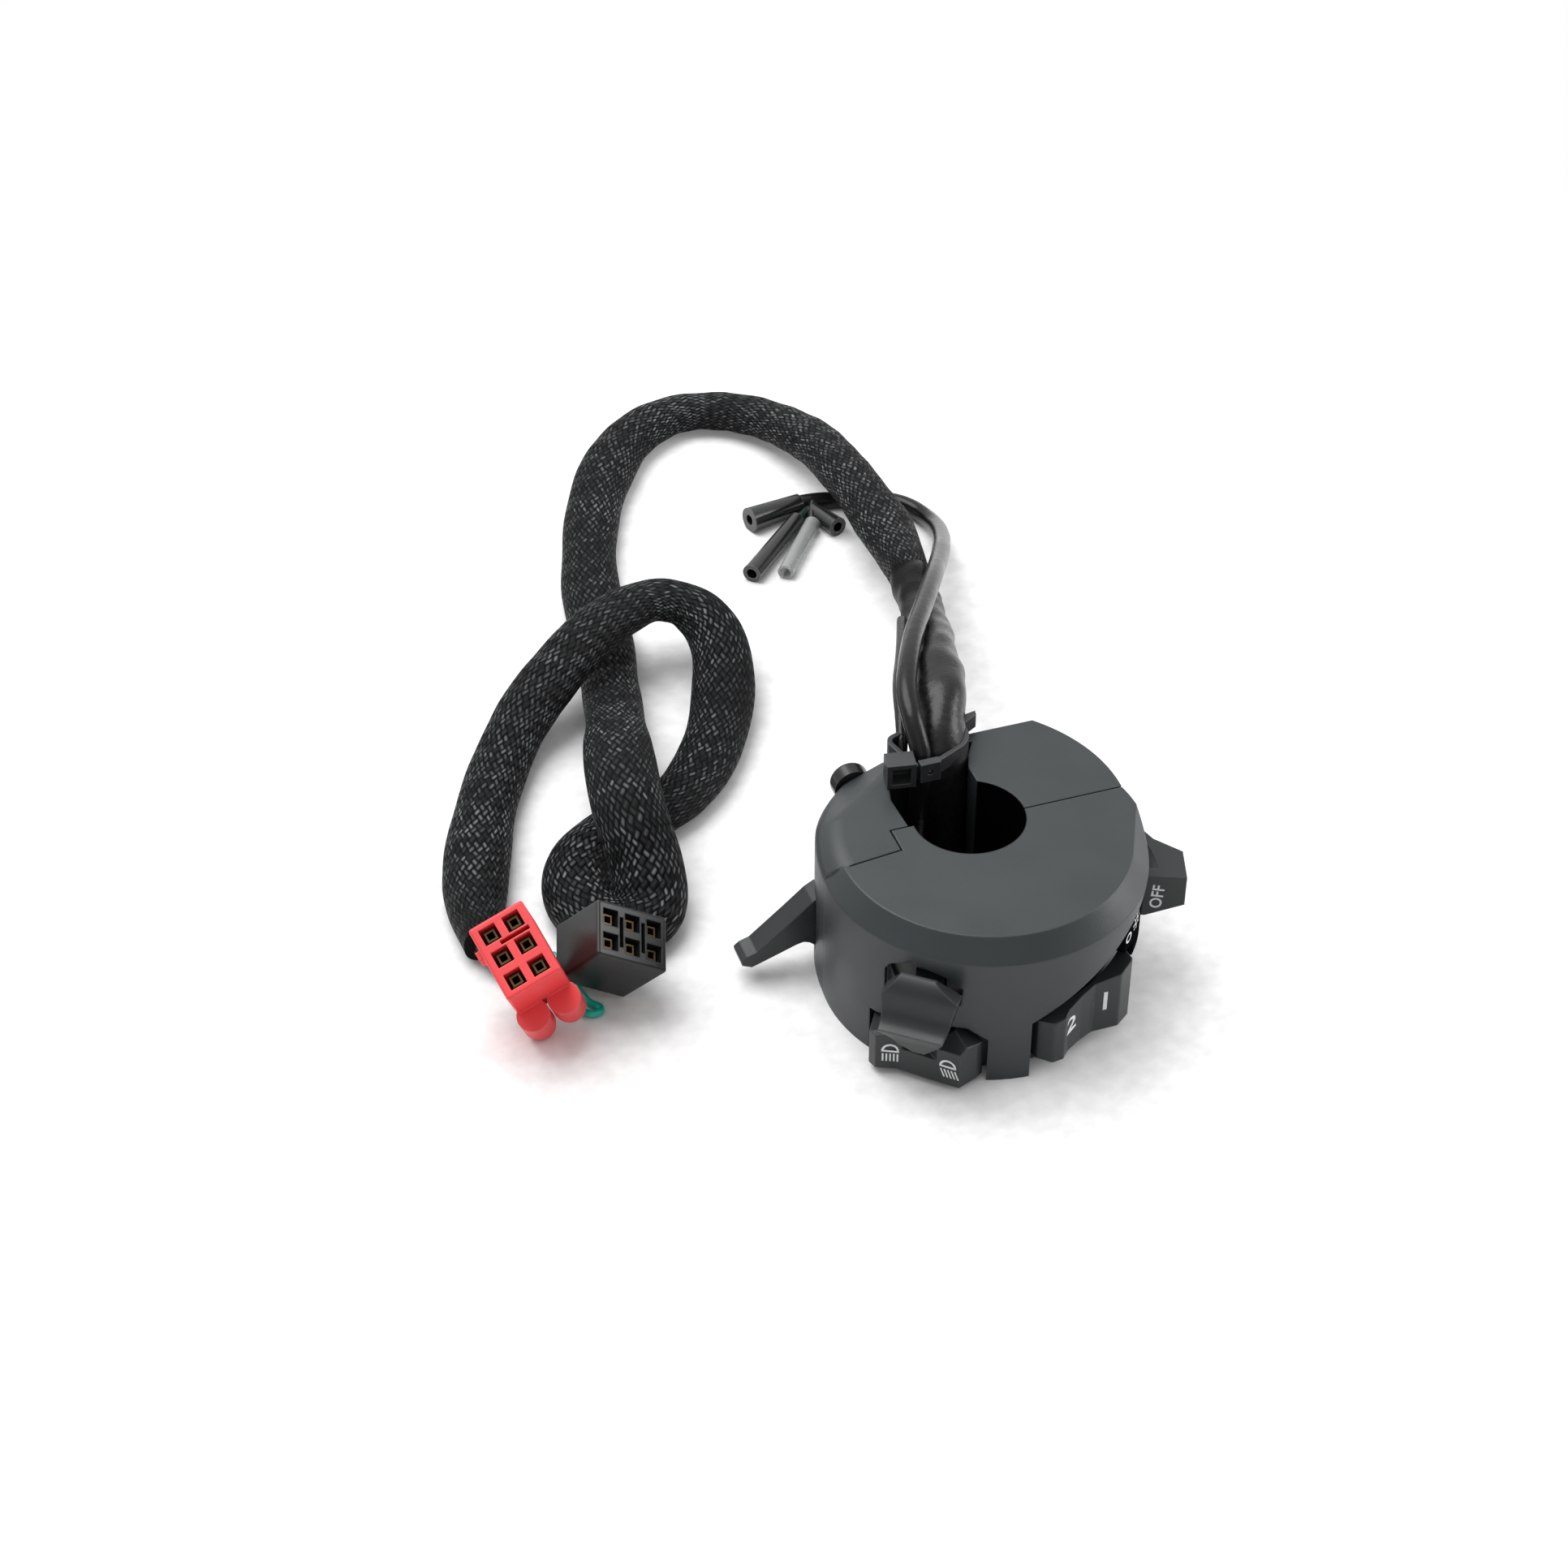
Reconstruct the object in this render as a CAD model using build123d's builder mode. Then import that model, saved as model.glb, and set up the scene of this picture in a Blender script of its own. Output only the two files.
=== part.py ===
"""Handlebar switch cluster with its harness, in millimetres.

The bar axis is +Z through the origin, z = 0 is the end face that it rests on, +Y is the flat back
and -Y the thumb side. The front wall is an arc about a centre of its own, and each control sits on
a plane that faces outward from that centre.
"""
import math
import os

from build123d import *

os.makedirs("parts", exist_ok=True)

# Case: two moulded halves round a 22.2 mm bar
case_height = 34.0
bar_radius = 11.1
collar_wall = 2.4
arc_x = 0.5
arc_y = -7.0
arc_radius = 32.0
arc_start_angle = 10.3
arc_sweep_angle = -197.3
back_shares = (-0.578125, 0.734375, 0.7625)
back_left_x, back_right_x, back_y = [arc_radius * share for share in back_shares]
side_bulge_share = (0.969, 0.322)
shoulder_bulge_share = (-0.850, 0.394)
case_wall = 2.4
top_wall = 3.2
chamfer_drop = 4.5
chamfer_run = 3.3
chamfer_margin_share = 0.5
chamfer_far_angle = -200.0
blend_angle = -25.0
blend_end_angle = 0.0
shoulder_radius = 5.5
slope_shares = [(-0.265625, 0.625), (-0.6875, 0.3125), (-0.578125, 0.7625)]
slope_drop = 6.5
slope_round = 4.0
seam_width = 0.4
seam_depth = 1.0
split_shares = [(1.5, -0.041), (0, -0.041), (0, 0.028), (-0.494, 0.028), (-0.494, -0.166),
                (-0.844, -0.206), (-1.06, -0.069), (-1.5, -0.069)]
overrun = 1.0
bend_share = 0.45
stem_overlap = 0.5
running_gap = 0.3
pin_gap = 0.03

# Harness slot in the rear half
slot_shares = [(-0.384, 0.0), (-0.397, 0.303), (-0.300, 0.650), (-0.266, 0.80), (0.294, 0.80),
               (0.219, 0.566), (0.175, 0.450), (0.175, 0.0)]
slot_rib = 1.6
slot_sill = 28.2

# Case screws along Y
screw_x = (-15.0, 18.5)
screw_drop = 7.5
screw_z = case_height - screw_drop
screw_radius = 1.6
screw_boss_radius = 3.0
screw_end_y = -9.5
screw_boss_end_y = -11.0
screw_rib = 1.6
screw_head_radius = 4.0
screw_head_height = 3.8
screw_slot = 1.0

# Right-hand recess, whose ceiling rises to the right
recess_radius = 27.5
recess_wall = 3.0
recess_start_angle = -94.0
recess_end_angle = 20.0
recess_ceiling = 14.8
recess_slope_angle = 27.5
recess_margin_angle = 3.0
recess_top = 29.2

# Mode rocker
mode_angle = -73.0
mode_pivot_radius = 26.0
mode_inner_radius = 29.3
mode_length = 24.0
mode_plan_shares = [(-0.396, 0.825), (-0.396, 0.9158), (-0.325, 1.0088), (-0.225, 1.0215), (-0.144, 0.984),
                    (0.02, 0.9532), (0.163, 0.9405), (0.379, 0.9908), (0.546, 0.9465), (0.585, 0.81)]
mode_bottom = 3.4
mode_top_left = 13.1
mode_top_right = 17.8
mode_round = 0.9
rocker_tilt_pin = 0.9
mode_shank_half = 3.8
mode_shank_bottom = 5.2
mode_shank_top = 11.8
mode_shank_end = 23.6
shank_side_gap = 0.6

# Beam rocker
beam_angle = -131.5
beam_floor_radius = 28.0
beam_floor_wall = 3.0
beam_pivot_radius = 26.5
beam_inner_radius = 29.5
beam_length = 21.6
beam_height_share = 0.3765
beam_height = case_height * beam_height_share
beam_opening_shares = [(-0.551, -0.1), (-0.551, 0.828), (0.106, 0.828), (0.245, 1.047), (0.380, 1.047),
                       (0.565, 0.828), (0.565, -0.1)]
beam_shelf_shares = [(-0.667, 0), (-0.667, 0.953), (0.070, 0.953), (0.210, 1.172), (0.412, 1.172),
                     (0.639, 0.940), (0.639, 0)]
beam_plan_shares = [(-0.505, 0.9221), (-0.463, 1.0874), (-0.384, 1.1219), (-0.204, 1.0814),
                    (0.081, 1.0922), (0.4, 1.0982), (0.495, 0.9747), (0.52, 0.9221)]
beam_face_shares = [(-0.51, 0.117), (-0.51, 0.75), (-0.40, 0.797), (0.139, 0.797), (0.287, 1.0),
                    (0.528, 0.773), (0.528, 0.117)]
beam_profile_shares = [(0.8775, 0.1), (1.1475, 0.1), (1.1475, 0.76), (1.0908, 0.79), (0.9815, 1.01),
                       (0.8775, 1.01)]
beam_scoop_radius = 5.2
beam_scoop_centre = 38.4
beam_scoop_bottom = 7.0
beam_shank_half = 3.5
beam_shank_bottom = 3.2
beam_shank_top = 9.0
beam_shank_end = 24.0
beam_round = 0.6

# Turn signal: paddle that pushes in, on a carrier that slides along the bar axis
turn_angle = -129.0
paddle_width = 14.9
paddle_rear = 33.8
paddle_face_shares = [(-0.369, 0.7735), (0.067, 0.7735), (0.43, 0.7029), (0.342, 0.5057), (0.248, 0.4233),
                      (0.054, 0.3322), (-0.081, 0.3322), (-0.282, 0.3883), (-0.51, 0.5), (-0.57, 0.6705)]
paddle_front_shares = [(1.0812, 0.7678), (1.1534, 0.6942), (1.1864, 0.5969), (1.294, 0.5119)]
paddle_under_shares = [(1.2875, 0.497), (1.2376, 0.4176), (1.2125, 0.3352), (1.1687, 0.3352),
                       (1.1627, 0.4413), (1.056, 0.4882), (1.056, 0.7704)]
pocket_shares = [(-0.671, 0.6736), (-0.604, 0.7266), (-0.289, 0.8059), (0.148, 0.756), (0.389, 0.6854),
                 (0.376, 0.5736), (0.242, 0.5), (-0.537, 0.4413), (-0.671, 0.4707)]
pocket_depth = 1.6
window_shares = [(-0.436, 0.497), (0.067, 0.497), (0.242, 0.5763), (0.362, 0.5824), (0.362, 0.6766),
                 (0.134, 0.7411), (-0.282, 0.7704), (-0.591, 0.7148), (-0.631, 0.6648)]
shutter_shares = [(-0.772, 0.4295), (0, 0.4295), (0.2, 0.5119), (0.517, 0.5119), (0.517, 0.8384),
                  (-0.772, 0.8384)]
shutter_inner = 27.6
shutter_outer = 29.3
stem_left = -3.8
stem_right = 1.6
stem_rise_shares = (0.5676, 0.6912)
stem_bottom = case_height * stem_rise_shares[0]
stem_top = case_height * stem_rise_shares[1]
stem_end = 25.5
stem_bore_radius = 1.5
stem_bore_end = 29.5
socket_wall = 1.9
socket_floor = 23.5
socket_clearance = 2.0
base_outer = 19.5
socket_end = base_outer + socket_clearance
rail_thickness = 2.0
rail_outer = 25.9
rail_bottom = 15.4
base_thickness = 4.0
base_inner = base_outer - base_thickness
detent_ball_radius = 1.5
detent_seat_depth = 3.5
detent_proud = 0.35
detent_notch = 0.4
spring_wire = 0.5
detent_slack = 0.1
detent_press = 0.1
detent_turns = 3
cancel_turns = 4
light_turns = 2
return_turns = 3
base_half = 9.0

# Passing trigger
trigger_pivot_x = -26.3
trigger_pivot_z = 14.0
trigger_length = 21.0
trigger_front_y = 4.0
trigger_back_y = 9.2
trigger_blade_shares = [(-0.119, 0.214), (-0.219, 0.157), (-0.424, -0.024), (-0.771, -0.319), (-0.871, -0.352),
                        (-0.924, -0.395), (-0.919, -0.443), (-0.824, -0.490), (-0.724, -0.457), (-0.376, -0.333),
                        (-0.305, -0.319), (-0.243, -0.343), (-0.186, -0.395), (-0.040, -0.380), (-0.040, -0.114)]
trigger_barrel_radius = 2.6
trigger_pin_radius = 1.2
trigger_lug = 2.6
trigger_lug_width = 6.0
trigger_lug_height = 6.0
trigger_window_bottom = 4.9
trigger_window_top = 18.6
micro_face_x = -24.2
micro_depth = 4.4
micro_bottom = 2.4
micro_top = 11.0
plunger_radius = 0.9
plunger_length = 1.2
plunger_z = 5.0
return_spring_z = 9.0
return_spring_radius = 1.1
return_spring_length = 2.9

# Light lever
lever_angle = -12.0
lever_top = 24.0
lever_outline = [(-18.7, 0.988), (-19.4, 1.250), (-8.0, 1.272), (-0.3, 1.138), (6.0, 1.112)]
lever_lip_share = 1.081
lever_wall_angle = -14.5
lever_under_shares = [(0.95, 0.583), (1.006, 0.583), (1.297, 0.742), (1.297, 1.0), (0.95, 1.0)]
lever_arm_angle = -12.0
lever_arm_sweep_angle = 8.0
lever_arm_outer = 35.4
lever_arm_thickness = 3.8
lever_arm_inner = lever_arm_outer - lever_arm_thickness
lever_arm_bottom = 11.4
lever_arm_top = 16.5
web_angle = -11.0
web_sweep_angle = 6.0
web_bottom = 11.7
web_top = 13.9
flange_inner = 23.2
flange_outer = 24.2
flange_margin_angle = 2.5
flange_margin = 2.3
lever_travel_angle = 18.0
band_outer = 31.2
band_gap = 0.1
band_bottom = 14.5
band_notch_top = 18.4
band_notch_angle = 8.0
band_angle = -50.0
band_sweep_angle = 58.0
light_base_inner = 18.5
light_base_outer = 22.9
light_base_angle = -38.0
light_base_sweep_angle = 40.0
light_base_top = 17.0

# Contact bases behind the rockers
mode_base_inner = 19.0
mode_base_outer = 23.0
mode_base_angle = -92.0
mode_base_sweep_angle = 36.0
mode_base_top = 15.0
beam_base_gap = 1.4
beam_base_thickness = 2.5
beam_base_inner = base_outer + beam_base_gap
beam_base_outer = beam_base_inner + beam_base_thickness
beam_base_angle = -146.0
beam_base_sweep_angle = 29.0
beam_base_top = 11.0
contact_size = 1.6
contact_share = 0.6

# Six-way connectors
connector_long = 16.2
connector_short = 11.8
connector_depth = 15.0
cavity_pitch = 5.1
cavity_size = 3.5
cavity_depth = 9.0
terminal_size = 2.2
terminal_wall = 0.4
terminal_recess = 1.2
rib_slot_width = 0.9
rib_slot_depth = 5.0
boss_radius = 3.3
boss_reach = 6.0
boss_overlap = 4.0
boss_offset = 1.7
boss_spread = 3.4
wire_recess = 3.0
slot_run = 1.6
nub_size = 2.0
connector_round = 0.6
red_place = (-91.6, 3.0)
red_width_share = (0.936, 0.075, 0.344)
red_face_share = (-0.270, -0.477, 0.837)
black_place = (-67.4, 5.6)
black_width_share = (0.842, -0.010, -0.540)
black_face_share = (0.470, -0.480, 0.740)

# Cords: diameters and hand-chosen routes
trunk_diameter = 8.0
sleeve_diameter = 9.0
lead_diameter = 4.2
strand_diameter = 2.4
loom_diameter = 4.2
stub_diameter = 1.4
trunk_route = [(2, 17, 3), (1.7, 17.2, 16), (1, 17.5, 29.6), (2.5, 22.5, 37.5), (6, 31.5, 40), (11, 46.5, 37),
               (17, 65, 29.5), (22.5, 84, 22), (27, 101.5, 17)]
sleeve_route = [(27, 101.5, 17), (29.5, 117, 14.5), (31, 134, 14), (31, 155.5, 13.5), (30.5, 175, 10),
                (26, 191.5, 6.5), (16.5, 202.5, 4.5), (2, 206, 4.5), (-12, 197.5, 4.5), (-22, 183, 4.5),
                (-29.5, 167, 4.5), (-35, 150.5, 4.5), (-39, 134, 4.5), (-41, 117.5, 4.5), (-44, 102.5, 4.5),
                (-47.8, 84.5, 8.5), (-52.5, 64.5, 16.5), (-55, 45, 16.5), (-53, 36.5, 9), (-55, 27.5, 4.5),
                (-62, 21.5, 4.5), (-70.5, 23.5, 4.5), (-76, 31, 4.5), (-76, 40.5, 4.5), (-70.5, 48.5, 4.5),
                (-61.5, 52, 4.5), (-51, 53.5, 4.5), (-39.5, 60, 4.5), (-28.5, 74, 4.5), (-21, 90, 6),
                (-17.5, 104, 10), (-21.5, 113, 14.5), (-31, 116, 17), (-45, 108.5, 17), (-56, 101, 13),
                (-66, 94, 7.5), (-74.5, 82.5, 4.5), (-81.5, 68.5, 4.5), (-87, 54, 4.5), (-90.5, 42, 4.5),
                (-91.5, 33, 4.5)]
lead_route = [(-4.5, 15.8, 3), (-4.3, 16, 16), (-4.5, 15.3, 28), (-3.5, 15.8, 36.5), (-4, 20, 42.5),
              (-3, 28, 45.2), (1, 37, 45.2), (7, 49.5, 42.5), (15.5, 65, 37.5), (25, 83.5, 30), (36, 106, 19),
              (44.5, 126.5, 9), (48, 141, 2.6), (45, 151, 2.1), (37.5, 156, 2.1), (29.5, 158, 2.1),
              (22.5, 159.5, 2.1)]
strand_route = [(-6.8, 20.6, 30), (-6.6, 21.8, 36), (-4.2, 29, 38.2), (0, 40, 37.8), (5, 51, 35.5),
                (9.5, 62, 32.2), (13.4, 72, 28.6)]
red_loom_route = [(-93.7, 32.8, 4.5), (-92.6, 25.8, 3.2), (-88.8, 18.9, 2.8), (-86.3, 12.4, 7), (-88.1, 9.2, 12.6)]
black_loom_route = [(-89.3, 32.8, 4.5), (-87, 26.5, 3.2), (-82.8, 20.8, 2.4), (-77, 16, 3.2), (-73.5, 12, 8)]
stub_routes = [[(22.5, 159.9, 2.1), (21.3, 159.7, 2.2), (20, 159.1, 2.3)],
               [(22.5, 158.8, 1.5), (20.5, 156, 1.5), (17.8, 153.3, 1.9)],
               [(22.8, 158.8, 2.7), (22, 154.4, 2.6), (20.8, 150.4, 1.9)],
               [(23.4, 158.7, 1.6), (23.3, 157.2, 1.7), (22.9, 155.9, 1.9)]]

# Boots at the end of the second lead: start, end, start radius, end radius
boot_places = {"lead_boot": ((20.4, 159.3), (6.5, 155.3), 2.3, 3.0),
               "long_boot": ((17.8, 153.0), (0.2, 134.8), 2.0, 2.3),
               "clear_sleeve": ((20.9, 150.6), (8.0, 133.2), 1.9, 1.9),
               "short_boot": ((23.0, 155.6), (25.8, 146.4), 1.9, 2.4)}
boot_bore_radius = 1.3
boot_bore_depth = 4.0
boot_round = 0.8

# Cable tie round the harness: the bundle's sections at its height, as centre and radius
tie_bundle = [((2.2, 21.4), 4.7), ((-3.7, 15.9), 2.3), ((-6.3, 22.2), 1.4)]
tie_lift = 0.8
tie_height = case_height + tie_lift
tie_thickness = 1.0
tie_width = 3.2
tie_head_width = 5.8
tie_head_depth = 4.4
tie_head_height = 5.6
tie_head_drop = 0.7
tie_head_place = (-9.0, 14.6)
tie_head_angle = -10.0
tie_window = 3.8
tie_window_depth = 3.4
tie_tab_width = 4.2
tie_tab_depth = 1.8
tie_tab_height = 4.4
tie_tab_place = (-3.5, 12.7)
tie_tab_hole = 0.6
tie_tail = [(6.2, 25.3), (11.6, 26.4), (11.4, 25.2), (7.6, 23.0)]


def scaled(shares, size):
    """Points worked out from shares of one size."""
    return [(size * across, size * up) for across, up in shares]


def stretched(shares, across_size, up_size):
    """Points worked out from shares of one size across and another size up."""
    return [(across_size * across, up_size * up) for across, up in shares]


def wall_plane(angle, radius=0.0):
    """Plane that faces outward: x runs along the wall, y up the bar axis."""
    turn = math.radians(angle)
    out = Vector(math.cos(turn), math.sin(turn), 0)
    return Plane(Vector(arc_x, arc_y, 0) + out * radius, x_dir=(-out.Y, out.X, 0), z_dir=out)


def plan_plane(angle, height=0.0):
    """Plane square to the bar axis whose x runs along the wall and whose y points back to the arc centre."""
    turn = math.radians(angle)
    return Plane((arc_x, arc_y, height), x_dir=(-math.sin(turn), math.cos(turn), 0), z_dir=(0, 0, 1))


def side_plane(angle, along=0.0):
    """Plane square to the wall: x runs outward, y up the bar axis, its normal points the other way along."""
    turn = math.radians(angle)
    out = Vector(math.cos(turn), math.sin(turn), 0)
    tangent = Vector(-out.Y, out.X, 0)
    return Plane(Vector(arc_x, arc_y, 0) + tangent * along, x_dir=out, z_dir=tangent * -1)


def sector_block(inner, outer, start, sweep_angle, bottom, top):
    """Part of a ring about the arc centre."""
    with BuildPart() as block:
        with BuildSketch(Plane.XY.offset(bottom)):
            with BuildLine():
                outside = CenterArc((arc_x, arc_y), outer, start, sweep_angle)
                inside = CenterArc((arc_x, arc_y), inner, start, sweep_angle)
                Line(outside @ 0, inside @ 0)
                Line(outside @ 1, inside @ 1)
            make_face()
        extrude(amount=top - bottom)
    return block.part


def wall_block(points, angle, inner, outer):
    """An outline seen from outside, cut out of the ring between two radii about the arc centre."""
    with BuildPart() as block:
        with BuildSketch(wall_plane(angle)):
            with BuildLine():
                Polyline(*points, close=True)
            make_face()
        extrude(amount=outer + overrun)
        with BuildSketch(Plane.XY.offset(-case_height)):
            with Locations((arc_x, arc_y)):
                Circle(outer)
                Circle(inner, mode=Mode.SUBTRACT)
        extrude(amount=case_height * 3, mode=Mode.INTERSECT)
    return block.part


def wall_box(angle, left, right, bottom, top, inner, outer):
    """Straight block that stands square to the wall."""
    with BuildPart() as block:
        with BuildSketch(wall_plane(angle, inner)):
            with BuildLine():
                Polyline((left, bottom), (right, bottom), (right, top), (left, top), close=True)
            make_face()
        extrude(amount=outer - inner)
    return block.part


def case_outline(inset=0.0):
    """Plan outline of both halves together, drawn in by an inset for the hollow inside."""
    left = (back_left_x + inset, back_y - inset)
    right = (back_right_x - inset, back_y - inset)
    with BuildSketch() as plan:
        with BuildLine():
            front = CenterArc((arc_x, arc_y), arc_radius - inset, arc_start_angle, arc_sweep_angle)
            shoulder_bulge = Vector(*shoulder_bulge_share) * arc_radius
            ThreePointArc(front @ 1, shoulder_bulge - shoulder_bulge.normalized() * inset, left)
            Line(left, right)
            side_bulge = Vector(*side_bulge_share) * arc_radius
            ThreePointArc(right, side_bulge - side_bulge.normalized() * inset, front @ 0)
        make_face()
    return plan.sketch


def split_region(limit, shift=0.0):
    """Plan region on one side of the parting line: limit is -1 for the front half and 1 for the rear."""
    with BuildSketch() as region:
        with BuildLine():
            line = [(x - shift, y + shift) for x, y in scaled(split_shares, arc_radius)]
            ends = [(line[-1][0], limit * arc_radius * 2), (line[0][0], limit * arc_radius * 2)]
            Polyline(*line, *ends, close=True)
        make_face()
    return region.sketch


def screw_column(x, radius, start_y, end_y):
    """Cylinder along Y at a case screw."""
    with BuildPart() as column:
        with BuildSketch(Plane.XZ.offset(-start_y)):
            with Locations((x, screw_z)):
                Circle(radius)
        extrude(amount=start_y - end_y)
    return column.part


def pin_column(angle, radius, pivot_radius, bottom, top):
    """Cylinder along the bar axis at a rocker's pivot."""
    turn = math.radians(angle)
    with BuildPart() as column:
        with BuildSketch(Plane.XY.offset(bottom)):
            with Locations((arc_x + pivot_radius * math.cos(turn), arc_y + pivot_radius * math.sin(turn))):
                Circle(radius)
        extrude(amount=top - bottom)
    return column.part


def trigger_column(radius, front_y, back_y_end):
    """Cylinder along Y at the trigger's pivot."""
    with BuildPart() as column:
        with BuildSketch(Plane.XZ.offset(-back_y_end)):
            with Locations((trigger_pivot_x, trigger_pivot_z)):
                Circle(radius)
        extrude(amount=back_y_end - front_y)
    return column.part


def trigger_lug_block(front_y, back_y_end):
    """Lug on the inside of the left wall that holds one end of the trigger's pin."""
    with BuildPart() as lug:
        with BuildSketch(Plane.XZ.offset(-back_y_end)):
            with Locations((trigger_pivot_x - trigger_lug_width / 2, trigger_pivot_z)):
                Rectangle(trigger_lug_width * 2, trigger_lug_height)
        extrude(amount=back_y_end - front_y)
    return lug.part


def screw_rib_block(x):
    """Rib that hangs a screw boss from the case's top wall."""
    with BuildPart() as rib:
        with BuildSketch(Plane((x, (back_y + screw_boss_end_y) / 2, screw_z))):
            Rectangle(screw_rib, back_y - screw_boss_end_y)
        extrude(amount=case_height - screw_z)
    return rib.part


def slot_rib_block(side):
    """Side wall of the harness slot inside the case: side is -1 on the left and 1 on the right."""
    points = scaled(slot_shares[:4] if side < 0 else slot_shares[4:], arc_radius)
    moved = [(x + side * slot_rib, y) for x, y in reversed(points)]
    with BuildPart() as rib:
        with BuildSketch():
            with BuildLine():
                Polyline(*points, *moved, close=True)
            make_face()
        extrude(amount=case_height)
    return rib.part


pin_front_y = trigger_front_y - trigger_lug
pin_back_y = trigger_back_y + trigger_lug
mode_pin_bottom = mode_shank_bottom - 2 * rocker_tilt_pin
mode_pin_top = mode_shank_top + 2 * rocker_tilt_pin
beam_pin_bottom = beam_shank_bottom - 2 * rocker_tilt_pin
beam_pin_top = beam_shank_top + 2 * rocker_tilt_pin
recess_inner = recess_radius - recess_wall
beam_inner_wall = beam_floor_radius - beam_floor_wall
cavity_top = case_height - top_wall
slope_corners = scaled(slope_shares, arc_radius)
slope_start = Vector(*slope_corners[0], case_height)
slope_along = Vector(*slope_corners[1], case_height) - slope_start
slope_down = Vector(*slope_corners[2], case_height - slope_drop) - slope_start
slope_plane = Plane(slope_start, x_dir=slope_along, z_dir=slope_down.cross(slope_along))

# What stays solid inside the case: recess walls, screw bosses, trigger lugs, slot ribs and the bar collar
keepers = [
    sector_block(recess_inner, arc_radius * 2, recess_start_angle - recess_margin_angle,
                 recess_end_angle - recess_start_angle + recess_margin_angle, 0, case_height),
    wall_block(stretched(beam_shelf_shares, beam_length, beam_height), beam_angle, beam_inner_wall, arc_radius),
    trigger_lug_block(trigger_front_y - running_gap - trigger_lug, trigger_front_y - running_gap),
    trigger_lug_block(trigger_back_y + running_gap, trigger_back_y + running_gap + trigger_lug),
    slot_rib_block(-1),
    slot_rib_block(1),
]
keepers += [screw_column(x, screw_boss_radius, back_y, screw_boss_end_y) for x in screw_x]
keepers += [screw_rib_block(x) for x in screw_x]

with BuildPart() as case_cavity:
    with BuildSketch(Plane.XY.offset(case_wall)):
        add(case_outline(case_wall))
        Circle(bar_radius + collar_wall, mode=Mode.SUBTRACT)
    extrude(amount=cavity_top - case_wall)
    for keeper in keepers:
        add(keeper, mode=Mode.SUBTRACT)
    split(bisect_by=slope_plane.offset(-case_wall), keep=Keep.BOTTOM)

# Chamfer round the front half's top edge, run out in one flat facet towards the parting line on the right
with BuildPart() as rim_chamfer:
    with BuildSketch(side_plane(chamfer_far_angle)):
        with BuildLine():
            beyond_run = chamfer_run * chamfer_margin_share
            beyond_drop = chamfer_drop * chamfer_margin_share
            Polyline((arc_radius - chamfer_run - beyond_run, case_height + beyond_drop),
                     (arc_radius + beyond_run, case_height - chamfer_drop - beyond_drop),
                     (arc_radius + beyond_run, case_height + beyond_drop), close=True)
        make_face()
    revolve(axis=Axis((arc_x, arc_y, 0), (0, 0, 1)), revolution_arc=blend_angle - chamfer_far_angle)

blend_top = wall_plane(blend_end_angle, arc_radius).from_local_coords((0, case_height, 0))
blend_low = wall_plane(blend_angle, arc_radius).from_local_coords((0, case_height - chamfer_drop, 0))
blend_inner = wall_plane(blend_angle, arc_radius - chamfer_run).from_local_coords((0, case_height, 0))
blend_plane = Plane(blend_top, x_dir=blend_low - blend_top,
                    z_dir=(blend_inner - blend_top).cross(blend_low - blend_top))
with BuildPart() as rim_blend:
    add(sector_block(recess_inner, arc_radius * 2, blend_angle, arc_start_angle - blend_angle + recess_margin_angle,
                     recess_ceiling, case_height + overrun))
    split(bisect_by=blend_plane, keep=Keep.TOP)

with BuildPart() as seam_groove:
    with BuildSketch():
        add(split_region(1))
        add(split_region(1, seam_width), mode=Mode.SUBTRACT)
    extrude(amount=case_height)
    with BuildSketch():
        add(case_outline(seam_depth))
    extrude(amount=case_height - seam_depth, mode=Mode.SUBTRACT)

with BuildPart() as trigger_window:
    with BuildSketch(Plane.YZ.offset(-arc_radius - overrun)):
        with BuildLine():
            front_edge = trigger_front_y - running_gap
            back_edge = trigger_back_y + running_gap
            Polyline((front_edge, trigger_window_bottom), (back_edge, trigger_window_bottom),
                     (back_edge, trigger_window_top), (front_edge, trigger_window_top), close=True)
        make_face()
    extrude(amount=arc_radius + overrun + trigger_pivot_x + trigger_barrel_radius + running_gap)

with BuildPart() as recess_cut:
    add(sector_block(recess_radius, arc_radius * 2, recess_start_angle, recess_end_angle - recess_start_angle,
                     -overrun, recess_top))
    ceiling = Plane((0, 0, recess_ceiling), x_dir=(0, 1, 0),
                    z_dir=(-math.sin(math.radians(recess_slope_angle)), 0, math.cos(math.radians(recess_slope_angle))))
    split(bisect_by=ceiling, keep=Keep.BOTTOM)

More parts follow.
